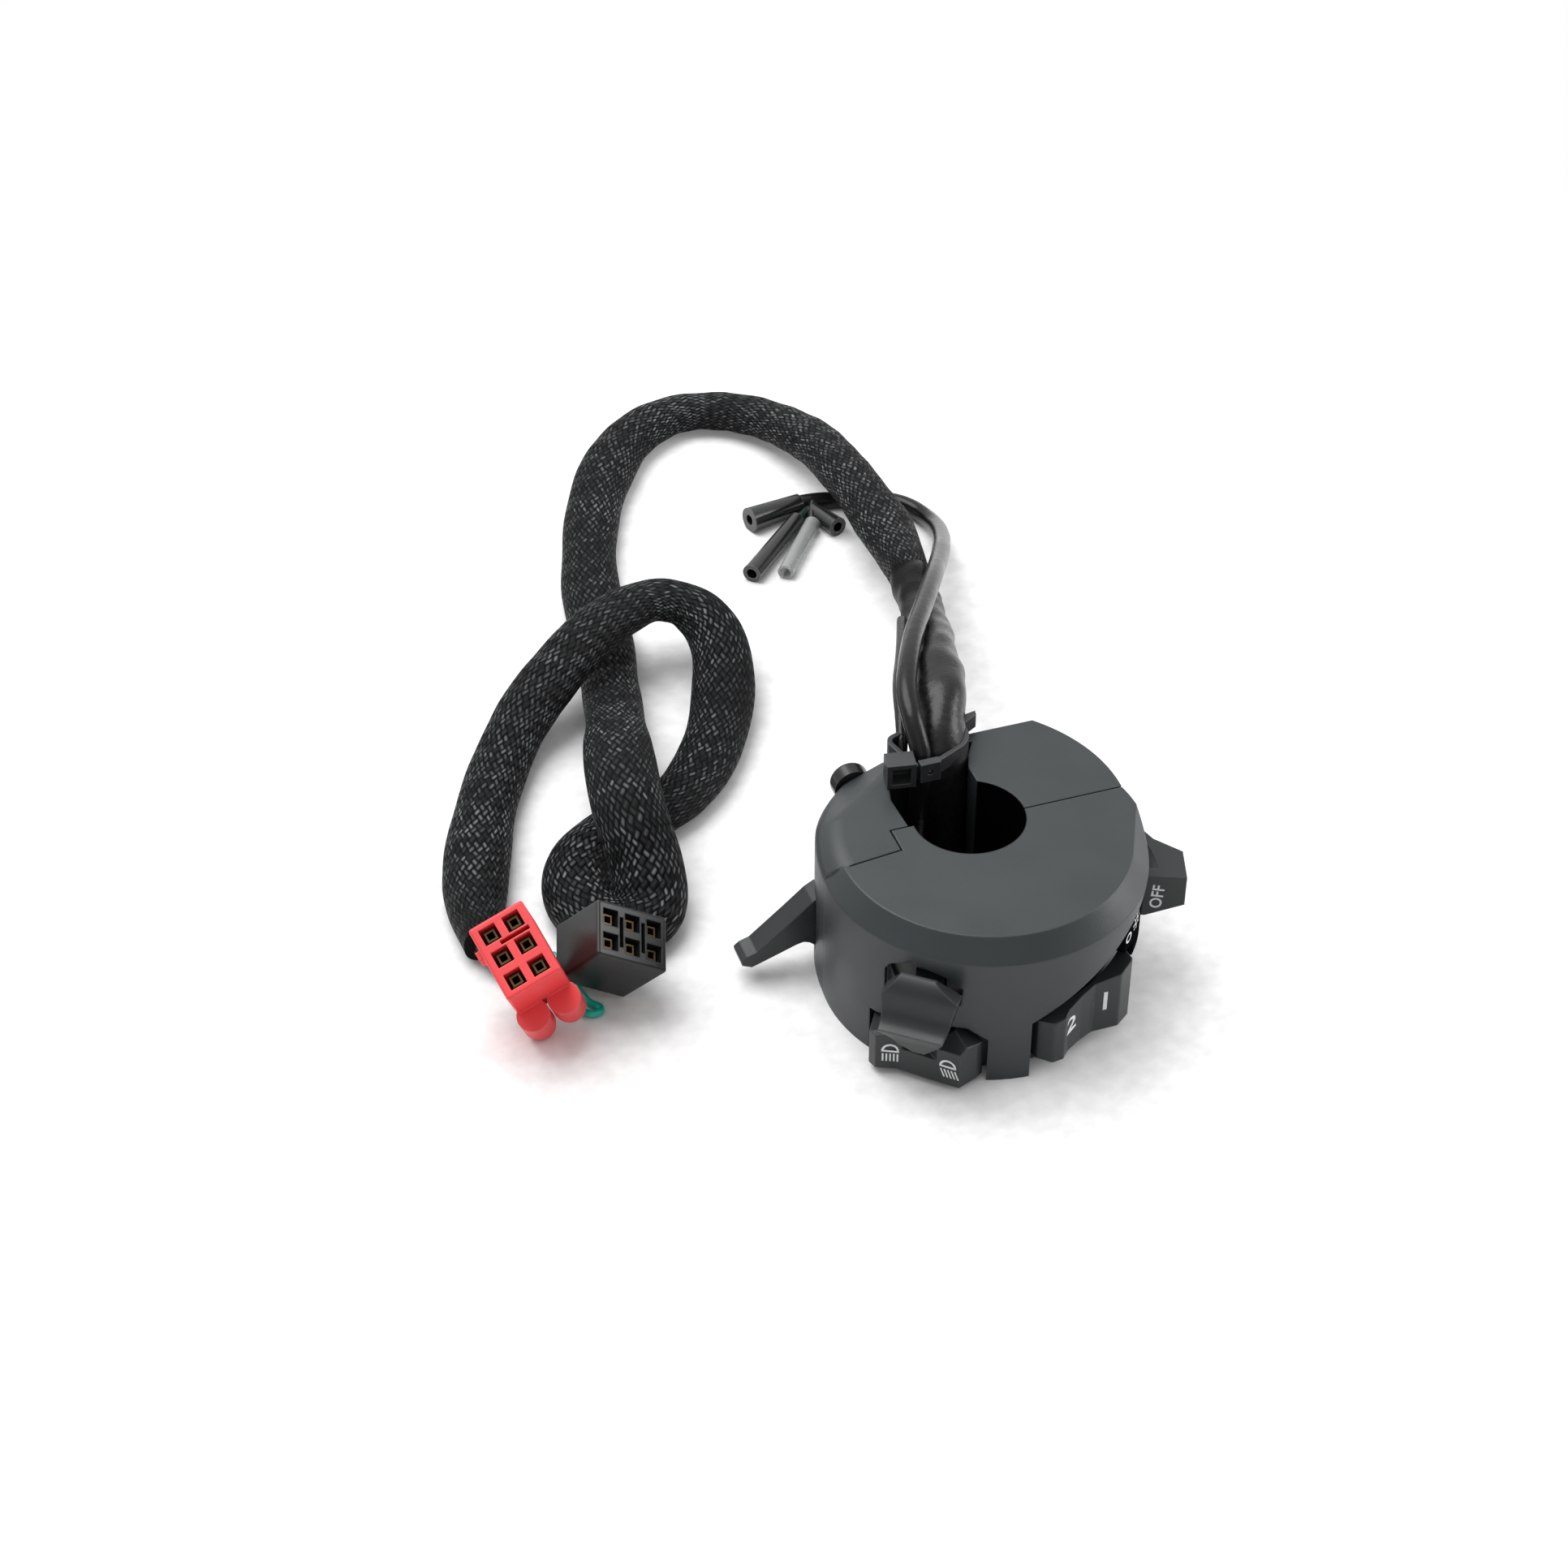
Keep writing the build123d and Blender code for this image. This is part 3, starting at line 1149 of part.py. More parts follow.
# Cable tie round the bundle above the slot
with BuildPart() as cable_tie:
    with BuildSketch(Plane.XY.offset(tie_height)) as band_plan:
        with BuildSketch(Plane.XY, mode=Mode.PRIVATE) as bundle:
            for place, radius in tie_bundle:
                with Locations(place):
                    Circle(radius)
        hull = make_hull(bundle.edges(), mode=Mode.PRIVATE)
        add(offset(hull, amount=tie_thickness, mode=Mode.PRIVATE))
        add(hull, mode=Mode.SUBTRACT)
    extrude(amount=tie_width)
    head_plane = Plane((*tie_head_place, tie_height - tie_head_drop)).rotated((0, 0, tie_head_angle))
    with BuildSketch(head_plane):
        Rectangle(tie_head_width, tie_head_depth)
    extrude(amount=tie_head_height)
    head_face = Plane(head_plane.from_local_coords((0, -tie_head_depth / 2, tie_head_height / 2)),
                      x_dir=head_plane.x_dir, z_dir=-head_plane.y_dir)
    with BuildSketch(head_face):
        Rectangle(tie_window, tie_window)
    extrude(amount=-tie_window_depth, mode=Mode.SUBTRACT)
    tab_plane = Plane((*tie_tab_place, tie_height))
    with BuildSketch(tab_plane):
        Rectangle(tie_tab_width, tie_tab_depth)
    extrude(amount=tie_tab_height)
    hole_plane = Plane(tab_plane.from_local_coords((0, -tie_tab_depth, tie_tab_height / 2)), z_dir=(0, 1, 0))
    add(column_at(hole_plane, tie_tab_hole, tie_tab_depth * 2), mode=Mode.SUBTRACT)
    with BuildSketch(Plane.XY.offset(tie_height)):
        with BuildLine():
            Polyline(*tie_tail, close=True)
        make_face()
    extrude(amount=tie_width)
cable_tie.part.label = "cable_tie"
export_step(cable_tie.part, "parts/cable_tie.step")
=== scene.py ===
"""Handlebar switch cluster and its harness on a pale studio floor.

The script follows the object as it is put together: the studio first, then the harness from the slot
outwards, then the case and its controls. Everything is in metres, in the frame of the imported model.
Only routes and the places and sizes of marks are in millimetres, as in the part's source.
"""
import math

import bmesh
import bpy
from mathutils import Matrix, Vector


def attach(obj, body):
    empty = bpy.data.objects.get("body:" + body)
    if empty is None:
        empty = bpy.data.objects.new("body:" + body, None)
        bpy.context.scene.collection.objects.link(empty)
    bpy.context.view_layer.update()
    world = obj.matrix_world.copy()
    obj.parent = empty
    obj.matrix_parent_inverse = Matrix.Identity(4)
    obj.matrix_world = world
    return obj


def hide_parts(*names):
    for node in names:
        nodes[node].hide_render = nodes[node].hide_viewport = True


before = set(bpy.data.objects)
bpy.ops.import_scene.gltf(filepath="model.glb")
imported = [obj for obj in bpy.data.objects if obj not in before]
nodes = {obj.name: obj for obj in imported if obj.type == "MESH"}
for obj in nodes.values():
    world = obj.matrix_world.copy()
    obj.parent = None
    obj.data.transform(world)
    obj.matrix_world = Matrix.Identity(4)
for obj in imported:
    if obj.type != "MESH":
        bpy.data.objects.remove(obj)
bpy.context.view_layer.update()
MM = 0.001


# Studio
# A white floor that runs out of sight, three soft lamps, and a world that is brighter behind and
# above. The camera stands on the thumb side and looks down by 39 degrees.

def placed(name, data):
    """A new object in the scene with the given data."""
    thing = bpy.data.objects.new(name, data)
    bpy.context.scene.collection.objects.link(thing)
    return thing


def node_tree(owner):
    """An empty node tree on a material or a world."""
    owner.use_nodes = True
    owner.node_tree.nodes.clear()
    return owner.node_tree


def add_node(tree, kind, values=None, **links):
    """A node with its plain values by socket name and its links by socket name."""
    node = tree.nodes.new(kind)
    for name, value in (values or {}).items():
        if name.startswith("."):
            setattr(node, name[1:], value)
        else:
            node.inputs[name].default_value = value
    for name, socket in links.items():
        tree.links.new(socket, node.inputs[name.replace("_", " ")])
    return node


def math_node(tree, operation, *values, kind="ShaderNodeMath", result=0):
    """The result of one step of arithmetic on numbers, vectors or sockets."""
    node = add_node(tree, kind, {".operation": operation})
    for place, value in enumerate(values):
        if isinstance(value, bpy.types.NodeSocket):
            tree.links.new(value, node.inputs[place])
        else:
            node.inputs[place].default_value = value
    return node.outputs[result]


def vector_node(tree, operation, *values, result="Value"):
    return math_node(tree, operation, *values, kind="ShaderNodeVectorMath", result=result)


def ranged(tree, value, given=(0.0, 1.0), wanted=(0.0, 1.0), interpolation="LINEAR"):
    """A value carried from the given range over to the wanted one, and held at its ends."""
    limits = {"From Min": given[0], "From Max": given[1], "To Min": wanted[0], "To Max": wanted[1]}
    node = add_node(tree, "ShaderNodeMapRange", {**limits, ".interpolation_type": interpolation},
                    Value=value)
    return node.outputs["Result"]


def studio_floor():
    """A speckled white sheet that fades to pure white away from the object."""
    reach = 3.0
    mesh = bpy.data.meshes.new("floor")
    corners = [(-reach, -reach, 0), (reach, -reach, 0), (reach, reach, 0), (-reach, reach, 0)]
    mesh.from_pydata(corners, [], [(0, 1, 2, 3)])
    floor = placed("floor", mesh)
    material = bpy.data.materials.new("studio_floor")
    tree = node_tree(material)
    coords = add_node(tree, "ShaderNodeTexCoord")
    speckle = add_node(tree, "ShaderNodeTexNoise", {"Scale": 260.0, "Detail": 6.0},
                       Vector=coords.outputs["Object"])
    tone = ranged(tree, speckle.outputs["Fac"], given=(0.3, 0.7), wanted=(0.80, 0.92))
    sheet = add_node(tree, "ShaderNodeBsdfDiffuse", Color=tone)
    white = add_node(tree, "ShaderNodeEmission", {"Color": (1, 1, 1, 1), "Strength": 1.0})
    distance = vector_node(tree, "LENGTH", coords.outputs["Object"])
    far = ranged(tree, distance, given=(0.16, 0.34), interpolation="SMOOTHSTEP")
    path = add_node(tree, "ShaderNodeLightPath")
    seen = math_node(tree, "MAXIMUM", path.outputs["Is Camera Ray"], path.outputs["Is Glossy Ray"])
    mix = add_node(tree, "ShaderNodeMixShader")
    tree.links.new(math_node(tree, "MULTIPLY", seen, far), mix.inputs[0])
    tree.links.new(sheet.outputs[0], mix.inputs[1])
    tree.links.new(white.outputs[0], mix.inputs[2])
    add_node(tree, "ShaderNodeOutputMaterial", Surface=mix.outputs[0])
    mesh.materials.append(material)


def studio_lamp(name, place, aim, size, power):
    """A round soft lamp that looks at a point."""
    light = bpy.data.lights.new(name, "AREA")
    light.shape = "DISK"
    light.size = size
    light.energy = power
    lamp = placed(name, light)
    lamp.location = place
    lamp.rotation_euler = (Vector(aim) - Vector(place)).to_track_quat("-Z", "Y").to_euler()


def studio_world():
    """White light all round, strongest from behind and above."""
    world = bpy.data.worlds.new("studio")
    bpy.context.scene.world = world
    tree = node_tree(world)
    bright_side = (0.0, 0.55, 0.83)
    sky = add_node(tree, "ShaderNodeTexCoord")
    turned = vector_node(tree, "DOT_PRODUCT", sky.outputs["Generated"], bright_side)
    strength = ranged(tree, turned, given=(-0.3, 0.9), wanted=(0.24, 0.9))
    glow = add_node(tree, "ShaderNodeBackground", {"Color": (1, 1, 1, 1)}, Strength=strength)
    add_node(tree, "ShaderNodeOutputWorld", Surface=glow.outputs[0])


def studio_camera():
    """The camera that the bore and the case outline of the photograph were fitted to."""
    place = Vector((-0.1835, -0.4219, 0.4136))
    right = Vector((0.9455, -0.3256, 0.0)).normalized()
    back = Vector((-0.2530, -0.7348, 0.6293)).normalized()
    up = back.cross(right)
    data = bpy.data.cameras.new("camera")
    data.lens = 70.0
    data.sensor_width = 36.0
    data.clip_start = 0.01
    camera = placed("camera", data)
    turn = Matrix((right, up, back)).transposed().to_4x4()
    camera.matrix_world = Matrix.Translation(place) @ turn
    bpy.context.scene.camera = camera


studio_floor()
studio_lamp("key_lamp", place=(-0.25, 0.4, 0.85), aim=(0, 0.05, 0), size=0.9, power=8.6)
studio_lamp("front_lamp", place=(-0.25, -0.8, 0.5), aim=(0, 0, 0), size=0.8, power=0.5)
studio_lamp("side_lamp", place=(0.75, -0.1, 0.3), aim=(0, 0, 0), size=0.5, power=3.4)
studio_world()
bpy.context.scene.view_settings.view_transform = "Standard"
studio_camera()


# Taped trunk
# The wires leave the slot as one bundle wound with black vinyl tape, whose laps show as shallow
# steps. The cable tie holds it at the slot, and the braided sleeve covers its far end.

def lengths_along(line):
    """The length of a line from its start to each of its points."""
    lengths = [0.0]
    for before, after in zip(line, line[1:]):
        lengths.append(lengths[-1] + (after - before).length)
    return lengths


def nurbs_curve(name, route):
    """A smooth open curve whose control points are the route's points, in millimetres."""
    data = bpy.data.curves.new(name, "CURVE")
    data.dimensions = "3D"
    data.resolution_u = 10
    spline = data.splines.new("NURBS")
    spline.points.add(len(route) - 1)
    for point, (x, y, z) in zip(spline.points, route):
        point.co = (x * MM, y * MM, z * MM, 1)
    spline.order_u = 3
    spline.use_endpoint_u = True
    return placed(name, data)


def curve_line(name, route):
    """Points along the smooth curve of a route, as Blender works them out, and their lengths."""
    least_gap = 0.0002
    cord = nurbs_curve(name, route)
    bpy.context.view_layer.update()
    mesh = bpy.data.meshes.new_from_object(cord)
    line = [vertex.co.copy() for vertex in mesh.vertices]
    bpy.data.meshes.remove(mesh)
    bpy.data.objects.remove(cord)
    spaced = [line[0]]
    for point in line[1:]:
        if (point - spaced[-1]).length > least_gap:
            spaced.append(point)
    return spaced, lengths_along(spaced)


def tangents(line):
    """The direction of a line at each of its points."""
    last = len(line) - 1
    return [(line[min(index + 1, last)] - line[max(index - 1, 0)]).normalized()
            for index in range(len(line))]


def line_frames(line):
    """Tangent, side and up at each point, carried along the line without twist."""
    steepest = 0.2
    frames = []
    side = None
    for tangent in tangents(line):
        if side is None:
            side = tangent.cross(Vector((0, 0, 1)))
            if side.length < steepest:
                side = Vector((1, 0, 0))
        side = (side - tangent * side.dot(tangent)).normalized()
        frames.append((tangent, side, side.cross(tangent)))
    return frames


def tube_mesh(name, line, frames, section, around=32):
    """A closed tube along a line. section(index, angle) gives its offset to the side and up."""
    uv_per_metre = 10
    shape = bmesh.new()
    layer = shape.loops.layers.uv.new("UVMap")
    rings = []
    for index, (point, (_, side, up)) in enumerate(zip(line, frames)):
        ring = []
        for step in range(around):
            out, rise = section(index, 2 * math.pi * step / around)
            ring.append(shape.verts.new(point + side * out + up * rise))
        rings.append(ring)
    travelled = lengths_along(line)
    for index in range(len(rings) - 1):
        for step in range(around):
            following = (step + 1) % around
            face = shape.faces.new((rings[index][step], rings[index + 1][step],
                                    rings[index + 1][following], rings[index][following]))
            face.smooth = True
            corners = ((step, index), (step, index + 1), (step + 1, index + 1), (step + 1, index))
            for loop, (turn, place) in zip(face.loops, corners):
                loop[layer].uv = (turn / around, travelled[place] * uv_per_metre)
    shape.faces.new(list(reversed(rings[0])))
    shape.faces.new(rings[-1])
    bmesh.ops.recalc_face_normals(shape, faces=shape.faces)
    mesh = bpy.data.meshes.new(name)
    shape.to_mesh(mesh)
    shape.free()
    return placed(name, mesh)


def eased(value, start, end):
    """0 before the start, 1 after the end and a smooth rise between them."""
    share = min(max((value - start) / (end - start), 0.0), 1.0)
    return share * share * (3 - 2 * share)


def plastic(tree, values, **links):
    """A principled surface from its plain values and links, wired to the material's output."""
    shader = add_node(tree, "ShaderNodeBsdfPrincipled", values, **links)
    add_node(tree, "ShaderNodeOutputMaterial", Surface=shader.outputs[0])


TRUNK_ROUTE = [(2, 17, 3), (1.7, 17.2, 16), (1, 17.5, 29.6), (2.5, 22.5, 37.5), (6, 31.5, 40),
               (11, 46.5, 37), (17, 65, 29.5), (22.5, 84, 22), (27, 101.5, 17)]


def tape_material():
    """Black vinyl tape wound at a slant, whose laps step up by the tape's thickness. Low down, where the
    trunk runs into the slot and the bore, its shine is taken away as painted shade.
    """
    laps_per_unit = 9.0
    crease_share = 0.35
    material = bpy.data.materials.new("wound_tape")
    tree = node_tree(material)
    coords = add_node(tree, "ShaderNodeTexCoord")
    parts = add_node(tree, "ShaderNodeSeparateXYZ", Vector=coords.outputs["UV"])
    winding = math_node(tree, "MULTIPLY_ADD", parts.outputs["Y"], laps_per_unit, parts.outputs["X"])
    lap = math_node(tree, "FRACT", winding)
    crease = add_node(tree, "ShaderNodeTexNoise", {"Scale": 900.0, "Detail": 4.0},
                      Vector=coords.outputs["Object"]).outputs["Fac"]
    height = math_node(tree, "MULTIPLY_ADD", crease, crease_share, lap)
    bump = add_node(tree, "ShaderNodeBump", {"Distance": 0.0003}, Height=height)
    # Painted shade: the tape's shine falls away with height below the top of the case.
    spot = add_node(tree, "ShaderNodeSeparateXYZ", Vector=coords.outputs["Object"])
    plastic(tree, {}, Base_Color=ranged(tree, crease, wanted=(0.002, 0.012)),
            Roughness=ranged(tree, crease, wanted=(0.18, 0.48)), Normal=bump.outputs["Normal"],
            Specular_IOR_Level=ranged(tree, spot.outputs["Z"], given=(0.026, 0.038),
                                      wanted=(0.02, 0.36)))
    return material


def taped_trunk():
    """The bundle: three soft ridges of wires under the tape, thicker just past the tie."""
    line, lengths = curve_line("taped_trunk_line", TRUNK_ROUTE)
    radius, bunch_growth = 0.0047, 0.0007
    bunch_start, bunch_full, bunch_fade, bunch_end = 0.02, 0.032, 0.045, 0.07
    ridges, ridge_share, ridge_twist = 3, 0.05, 240
    wave_share, wave_rate = 0.03, 610

    def section(index, angle):
        place = lengths[index]
        lump = (1 + ridge_share * math.sin(ridges * angle + place * ridge_twist)
                + wave_share * math.sin(place * wave_rate))
        bunch = eased(place, bunch_start, bunch_full) * (1 - eased(place, bunch_fade, bunch_end))
        reach = (radius + bunch_growth * bunch) * lump
        return reach * math.cos(angle), reach * math.sin(angle)

    piece = tube_mesh("taped_trunk_bundle", line, line_frames(line), section)
    piece.data.materials.append(tape_material())
    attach(piece, "case")
    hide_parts("taped_trunk")


taped_trunk()


# Braided sleeve
# A flattened tube of woven black polyester monofilament over the bundle. It arches behind the
# case, lies over itself in one loop, and stops behind the two connectors. Highlights on single
# strands are painted into its colour, and the gaps between strands are darkened as painted shade.

SLEEVE_ROUTE = [(27, 101.5, 17), (29.5, 117, 14.5), (31, 134, 13), (31, 155.5, 11), (30.5, 175, 8),
                (26, 191.5, 5), (16.5, 202.5, 4.0), (2, 206, 4.0), (-12, 197.5, 4.0), (-22, 183, 4.0),
                (-29.5, 167, 4.0), (-35, 150.5, 4.0), (-39, 134, 4.0), (-41, 117.5, 4.0), (-44, 102.5, 4.0),
                (-47.8, 84.5, 8.0), (-53, 64.5, 15.5), (-56.5, 45, 15.5), (-55.5, 36.5, 9), (-57, 27.5, 4.4),
                (-62, 22.5, 4), (-67.5, 24.5, 4), (-70.5, 31.5, 4.0), (-69.5, 40.5, 4.0), (-65.5, 48, 4.0),
                (-59, 52.5, 4.0), (-50.5, 55, 4.0), (-39.5, 60, 4.0), (-28.5, 74, 4.0), (-21, 90, 5.5),
                (-17.5, 104, 9.5), (-21.5, 113, 13.5), (-31, 116, 15.5), (-45, 108.5, 15.5), (-56, 101, 12),
                (-66, 94, 7), (-74.5, 82.5, 4.0), (-81.5, 68.5, 4.0), (-87, 54, 4.0), (-90.5, 42, 4.0),
                (-92, 33, 4.3), (-92, 27, 4.6)]


def group_sockets(tree, inputs, outputs):
    """The input and output nodes of a group that takes floats and gives the named kinds."""
    for name in inputs:
        tree.interface.new_socket(name, in_out="INPUT", socket_type="NodeSocketFloat")
    for name, kind in outputs.items():
        tree.interface.new_socket(name, in_out="OUTPUT", socket_type=kind)
    return tree.nodes.new("NodeGroupInput"), tree.nodes.new("NodeGroupOutput")


def use_group(tree, group, **values):
    """A node group put into a tree, with its inputs by name."""
    node = tree.nodes.new("ShaderNodeGroup")
    node.node_tree = group
    for name, value in values.items():
        node.inputs[name].default_value = value
    return node


def colour_mix(tree, share, first, second):
    """A blend of two colours, each a triple of numbers or a socket."""
    colour_inputs, colour_output = (6, 7), 2
    node = add_node(tree, "ShaderNodeMix", {".data_type": "RGBA"})
    tree.links.new(share, node.inputs[0])
    for place, colour in zip(colour_inputs, (first, second)):
        if isinstance(colour, bpy.types.NodeSocket):
            tree.links.new(colour, node.inputs[place])
        else:
            node.inputs[place].default_value = (*colour, 1)
    return node.outputs[colour_output]


def make_grain_group():
    """Fine moulded grain and a slow drift in tone, from the piece's own coordinates."""
    tree = bpy.data.node_groups.new("moulded_grain", "ShaderNodeTree")
    given, out = group_sockets(tree, ["Scale"], {"Grain": "NodeSocketFloat", "Drift": "NodeSocketFloat"})
    coords = add_node(tree, "ShaderNodeTexCoord")
    grain = add_node(tree, "ShaderNodeTexNoise", {"Detail": 3.0, "Roughness": 0.6},
                     Vector=coords.outputs["Object"], Scale=given.outputs["Scale"])
    drift = add_node(tree, "ShaderNodeTexNoise", {"Scale": 60.0, "Detail": 4.0},
                     Vector=coords.outputs["Object"])
    tree.links.new(grain.outputs["Fac"], out.inputs["Grain"])
    tree.links.new(drift.outputs["Fac"], out.inputs["Drift"])
    return tree


GRAIN = make_grain_group()


def make_weave_group():
    """A two-way braid in tube coordinates: the height of the strands, and a mask of painted highlights on
    single strands.
    """
    filaments, filament_share = 3, 0.2
    slimness = 3.0
    tree = bpy.data.node_groups.new("braid_weave", "ShaderNodeTree")
    given, out = group_sockets(tree, ["Turns", "Rows"],
                               {"Height": "NodeSocketFloat", "Painted_Glint": "NodeSocketFloat"})
    coords = add_node(tree, "ShaderNodeTexCoord")
    parts = add_node(tree, "ShaderNodeSeparateXYZ", Vector=coords.outputs["UV"])

    def step(operation, *values):
        return math_node(tree, operation, *values)

    def crown(fraction):
        return step("SINE", step("MULTIPLY", fraction, math.pi))

    around = step("MULTIPLY", parts.outputs["X"], given.outputs["Turns"])
    along = step("MULTIPLY", parts.outputs["Y"], given.outputs["Rows"])
    right_lay = step("ADD", around, along)
    left_lay = step("SUBTRACT", along, around)
    right_strand = step("FRACT", right_lay)
    left_strand = step("FRACT", left_lay)
    right_cell = step("FLOOR", right_lay)
    left_cell = step("FLOOR", left_lay)
    right_on_top = step("FLOORED_MODULO", step("ADD", right_cell, left_cell), 2.0)
    left_on_top = step("SUBTRACT", 1.0, right_on_top)

    def of_upper_strand(right_value, left_value):
        return step("ADD", step("MULTIPLY", right_value, right_on_top),
                    step("MULTIPLY", left_value, left_on_top))

    body = of_upper_strand(crown(right_strand), crown(left_strand))
    across = of_upper_strand(right_strand, left_strand)
    filament = step("ABSOLUTE", step("SINE", step("MULTIPLY", across, math.pi * filaments)))
    height = step("ADD", body, step("MULTIPLY", filament, filament_share))
    tree.links.new(height, out.inputs["Height"])
    length_share = of_upper_strand(crown(left_strand), crown(right_strand))
    slim = step("POWER", body, slimness)
    # Painted highlight: a spot on the crown of the upper strand, kept in some cells only.
    spot = ranged(tree, step("MULTIPLY", slim, step("SQRT", length_share)), given=(0.2, 0.85))
    cell = add_node(tree, "ShaderNodeCombineXYZ", X=right_cell, Y=left_cell)
    scatter = add_node(tree, "ShaderNodeTexWhiteNoise", {".noise_dimensions": "2D"},
                       Vector=cell.outputs[0]).outputs["Value"]
    chosen = step("MULTIPLY", scatter, scatter)
    tree.links.new(step("MULTIPLY", chosen, spot), out.inputs["Painted_Glint"])
    return tree


def braid_material():
    """Black monofilament: strands under a fine grain, darker in the gaps as painted shade, with patches of
    painted highlights on single strands.
    """
    material = bpy.data.materials.new("woven_sleeve")
    tree = node_tree(material)
    weave = use_group(tree, make_weave_group(), Turns=32.0, Rows=34.0)
    grain = use_group(tree, GRAIN, Scale=2500.0)
    painted_glint_patches = ranged(tree, grain.outputs["Drift"], given=(0.35, 0.65), wanted=(0.15, 1.0))
    painted_glint = math_node(tree, "MULTIPLY", weave.outputs["Painted_Glint"], painted_glint_patches)
    # Painted shade: darker where the weave is low, in the gaps between strands.
    strand_tone_and_gap_shade = colour_mix(tree, weave.outputs["Height"], (0.001, 0.0011, 0.0012), (0.006, 0.0068, 0.0072))
    # Painted highlight: pale grey laid into the colour on single strands.
    colour = colour_mix(tree, painted_glint, strand_tone_and_gap_shade, (0.2, 0.215, 0.22))
    bump = add_node(tree, "ShaderNodeBump", {"Distance": 0.0004}, Height=weave.outputs["Height"])
    plastic(tree, {"Specular IOR Level": 0.1}, Base_Color=colour, Normal=bump.outputs["Normal"],
            Roughness=ranged(tree, grain.outputs["Grain"], wanted=(0.42, 0.65)))
    return material


def flat_frames(line):
    """Tangent, side and up where the side stays level, as in a sleeve that lies flat."""
    frames = []
    for tangent in tangents(line):
        side = tangent.cross(Vector((0, 0, 1))).normalized()
        frames.append((tangent, side, side.cross(tangent)))
    return frames


def braided_sleeve():
    """The sleeve: rounder at both ends, and spread wide where it turns down into its loop."""
    line, lengths = curve_line("braided_sleeve_line", SLEEVE_ROUTE)
    whole = lengths[-1]
    half_width, half_thick, end_half_width, end_swell = 0.0067, 0.0034, 0.0046, 0.2
    first_end, last_end = 0.03, 0.02
    lobe_half_width = 0.0077
    lobe_start, lobe_full, lobe_fade, lobe_end = 0.262, 0.285, 0.335, 0.36
    slow_share, slow_rate = 0.04, 95
    quick_share, quick_rate = 0.02, 260
    pinch_depth, pinch_rate, pinch_sides = 0.0002, 700, 2
    squareness = 0.85

    def squared(value):
        return math.copysign(abs(value) ** squareness, value)

    def section(index, angle):
        place = lengths[index]
        ends = min(eased(place, 0, first_end), eased(whole - place, 0, last_end))
        wide = end_half_width + (half_width - end_half_width) * ends
        lobe = eased(place, lobe_start, lobe_full) * (1 - eased(place, lobe_fade, lobe_end))
        wide *= 1 + slow_share * math.sin(place * slow_rate) + quick_share * math.sin(place * quick_rate)
        wide += (lobe_half_width - wide) * lobe
        thick = half_thick * (1 + end_swell - end_swell * ends)
        pinch = pinch_depth * math.sin(place * pinch_rate + pinch_sides * angle)
        return wide * squared(math.cos(angle)), (thick + pinch) * squared(math.sin(angle))

    piece = tube_mesh("woven_sleeve", line, flat_frames(line), section, around=40)
    piece.data.materials.append(braid_material())
    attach(piece, "case")
    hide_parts("braided_sleeve")


braided_sleeve()


# Second lead and the thin strand beside it
# A glossy black vinyl tube over a few wires, which leaves the slot beside the trunk, crosses over
# it and lies on the floor behind the sleeve. A thin strand runs beside the trunk above the tie.

LEAD_ROUTE = [(-4.5, 15.8, 3), (-4.3, 16, 16), (-4.5, 15.3, 28), (-3.5, 15.8, 36.5), (-4, 20, 42.5),
              (-3, 28, 45.2), (1, 37, 45.2), (7, 49.5, 42.5), (15.5, 65, 37.5), (25, 83.5, 30), (36, 106, 19),
              (44.5, 126.5, 9), (48, 141, 2.6), (45, 151, 2.1), (37.5, 156, 2.1), (29.5, 158, 2.1),
              (23.5, 159.3, 2.1), (20.8, 159.2, 2.1)]
STRAND_ROUTE = [(-6.8, 20.6, 30), (-5.8, 21.5, 36), (-3.5, 28.6, 38.2), (0, 40, 37.8), (5, 51, 35.5),
                (9.5, 62, 32.2), (13.4, 72, 28.6)]


def make_edge_group():
    """Rounded edge normals and a mask of the edges, which are made paler partly as wear and partly as painted
    highlight.
    """
    tree = bpy.data.node_groups.new("worn_and_highlit_edges", "ShaderNodeTree")
    given, out = group_sockets(tree, ["Breadth"], {"Edge": "NodeSocketFloat", "Normal": "NodeSocketVector"})
    round_edge = add_node(tree, "ShaderNodeBevel", {".samples": 6}, Radius=given.outputs["Breadth"])
    flat = add_node(tree, "ShaderNodeNewGeometry")
    facing = vector_node(tree, "DOT_PRODUCT", round_edge.outputs["Normal"], flat.outputs["Normal"])
    tree.links.new(ranged(tree, facing, given=(0.98, 0.75)), out.inputs["Edge"])
    tree.links.new(round_edge.outputs["Normal"], out.inputs["Normal"])
    return tree


EDGES = make_edge_group()


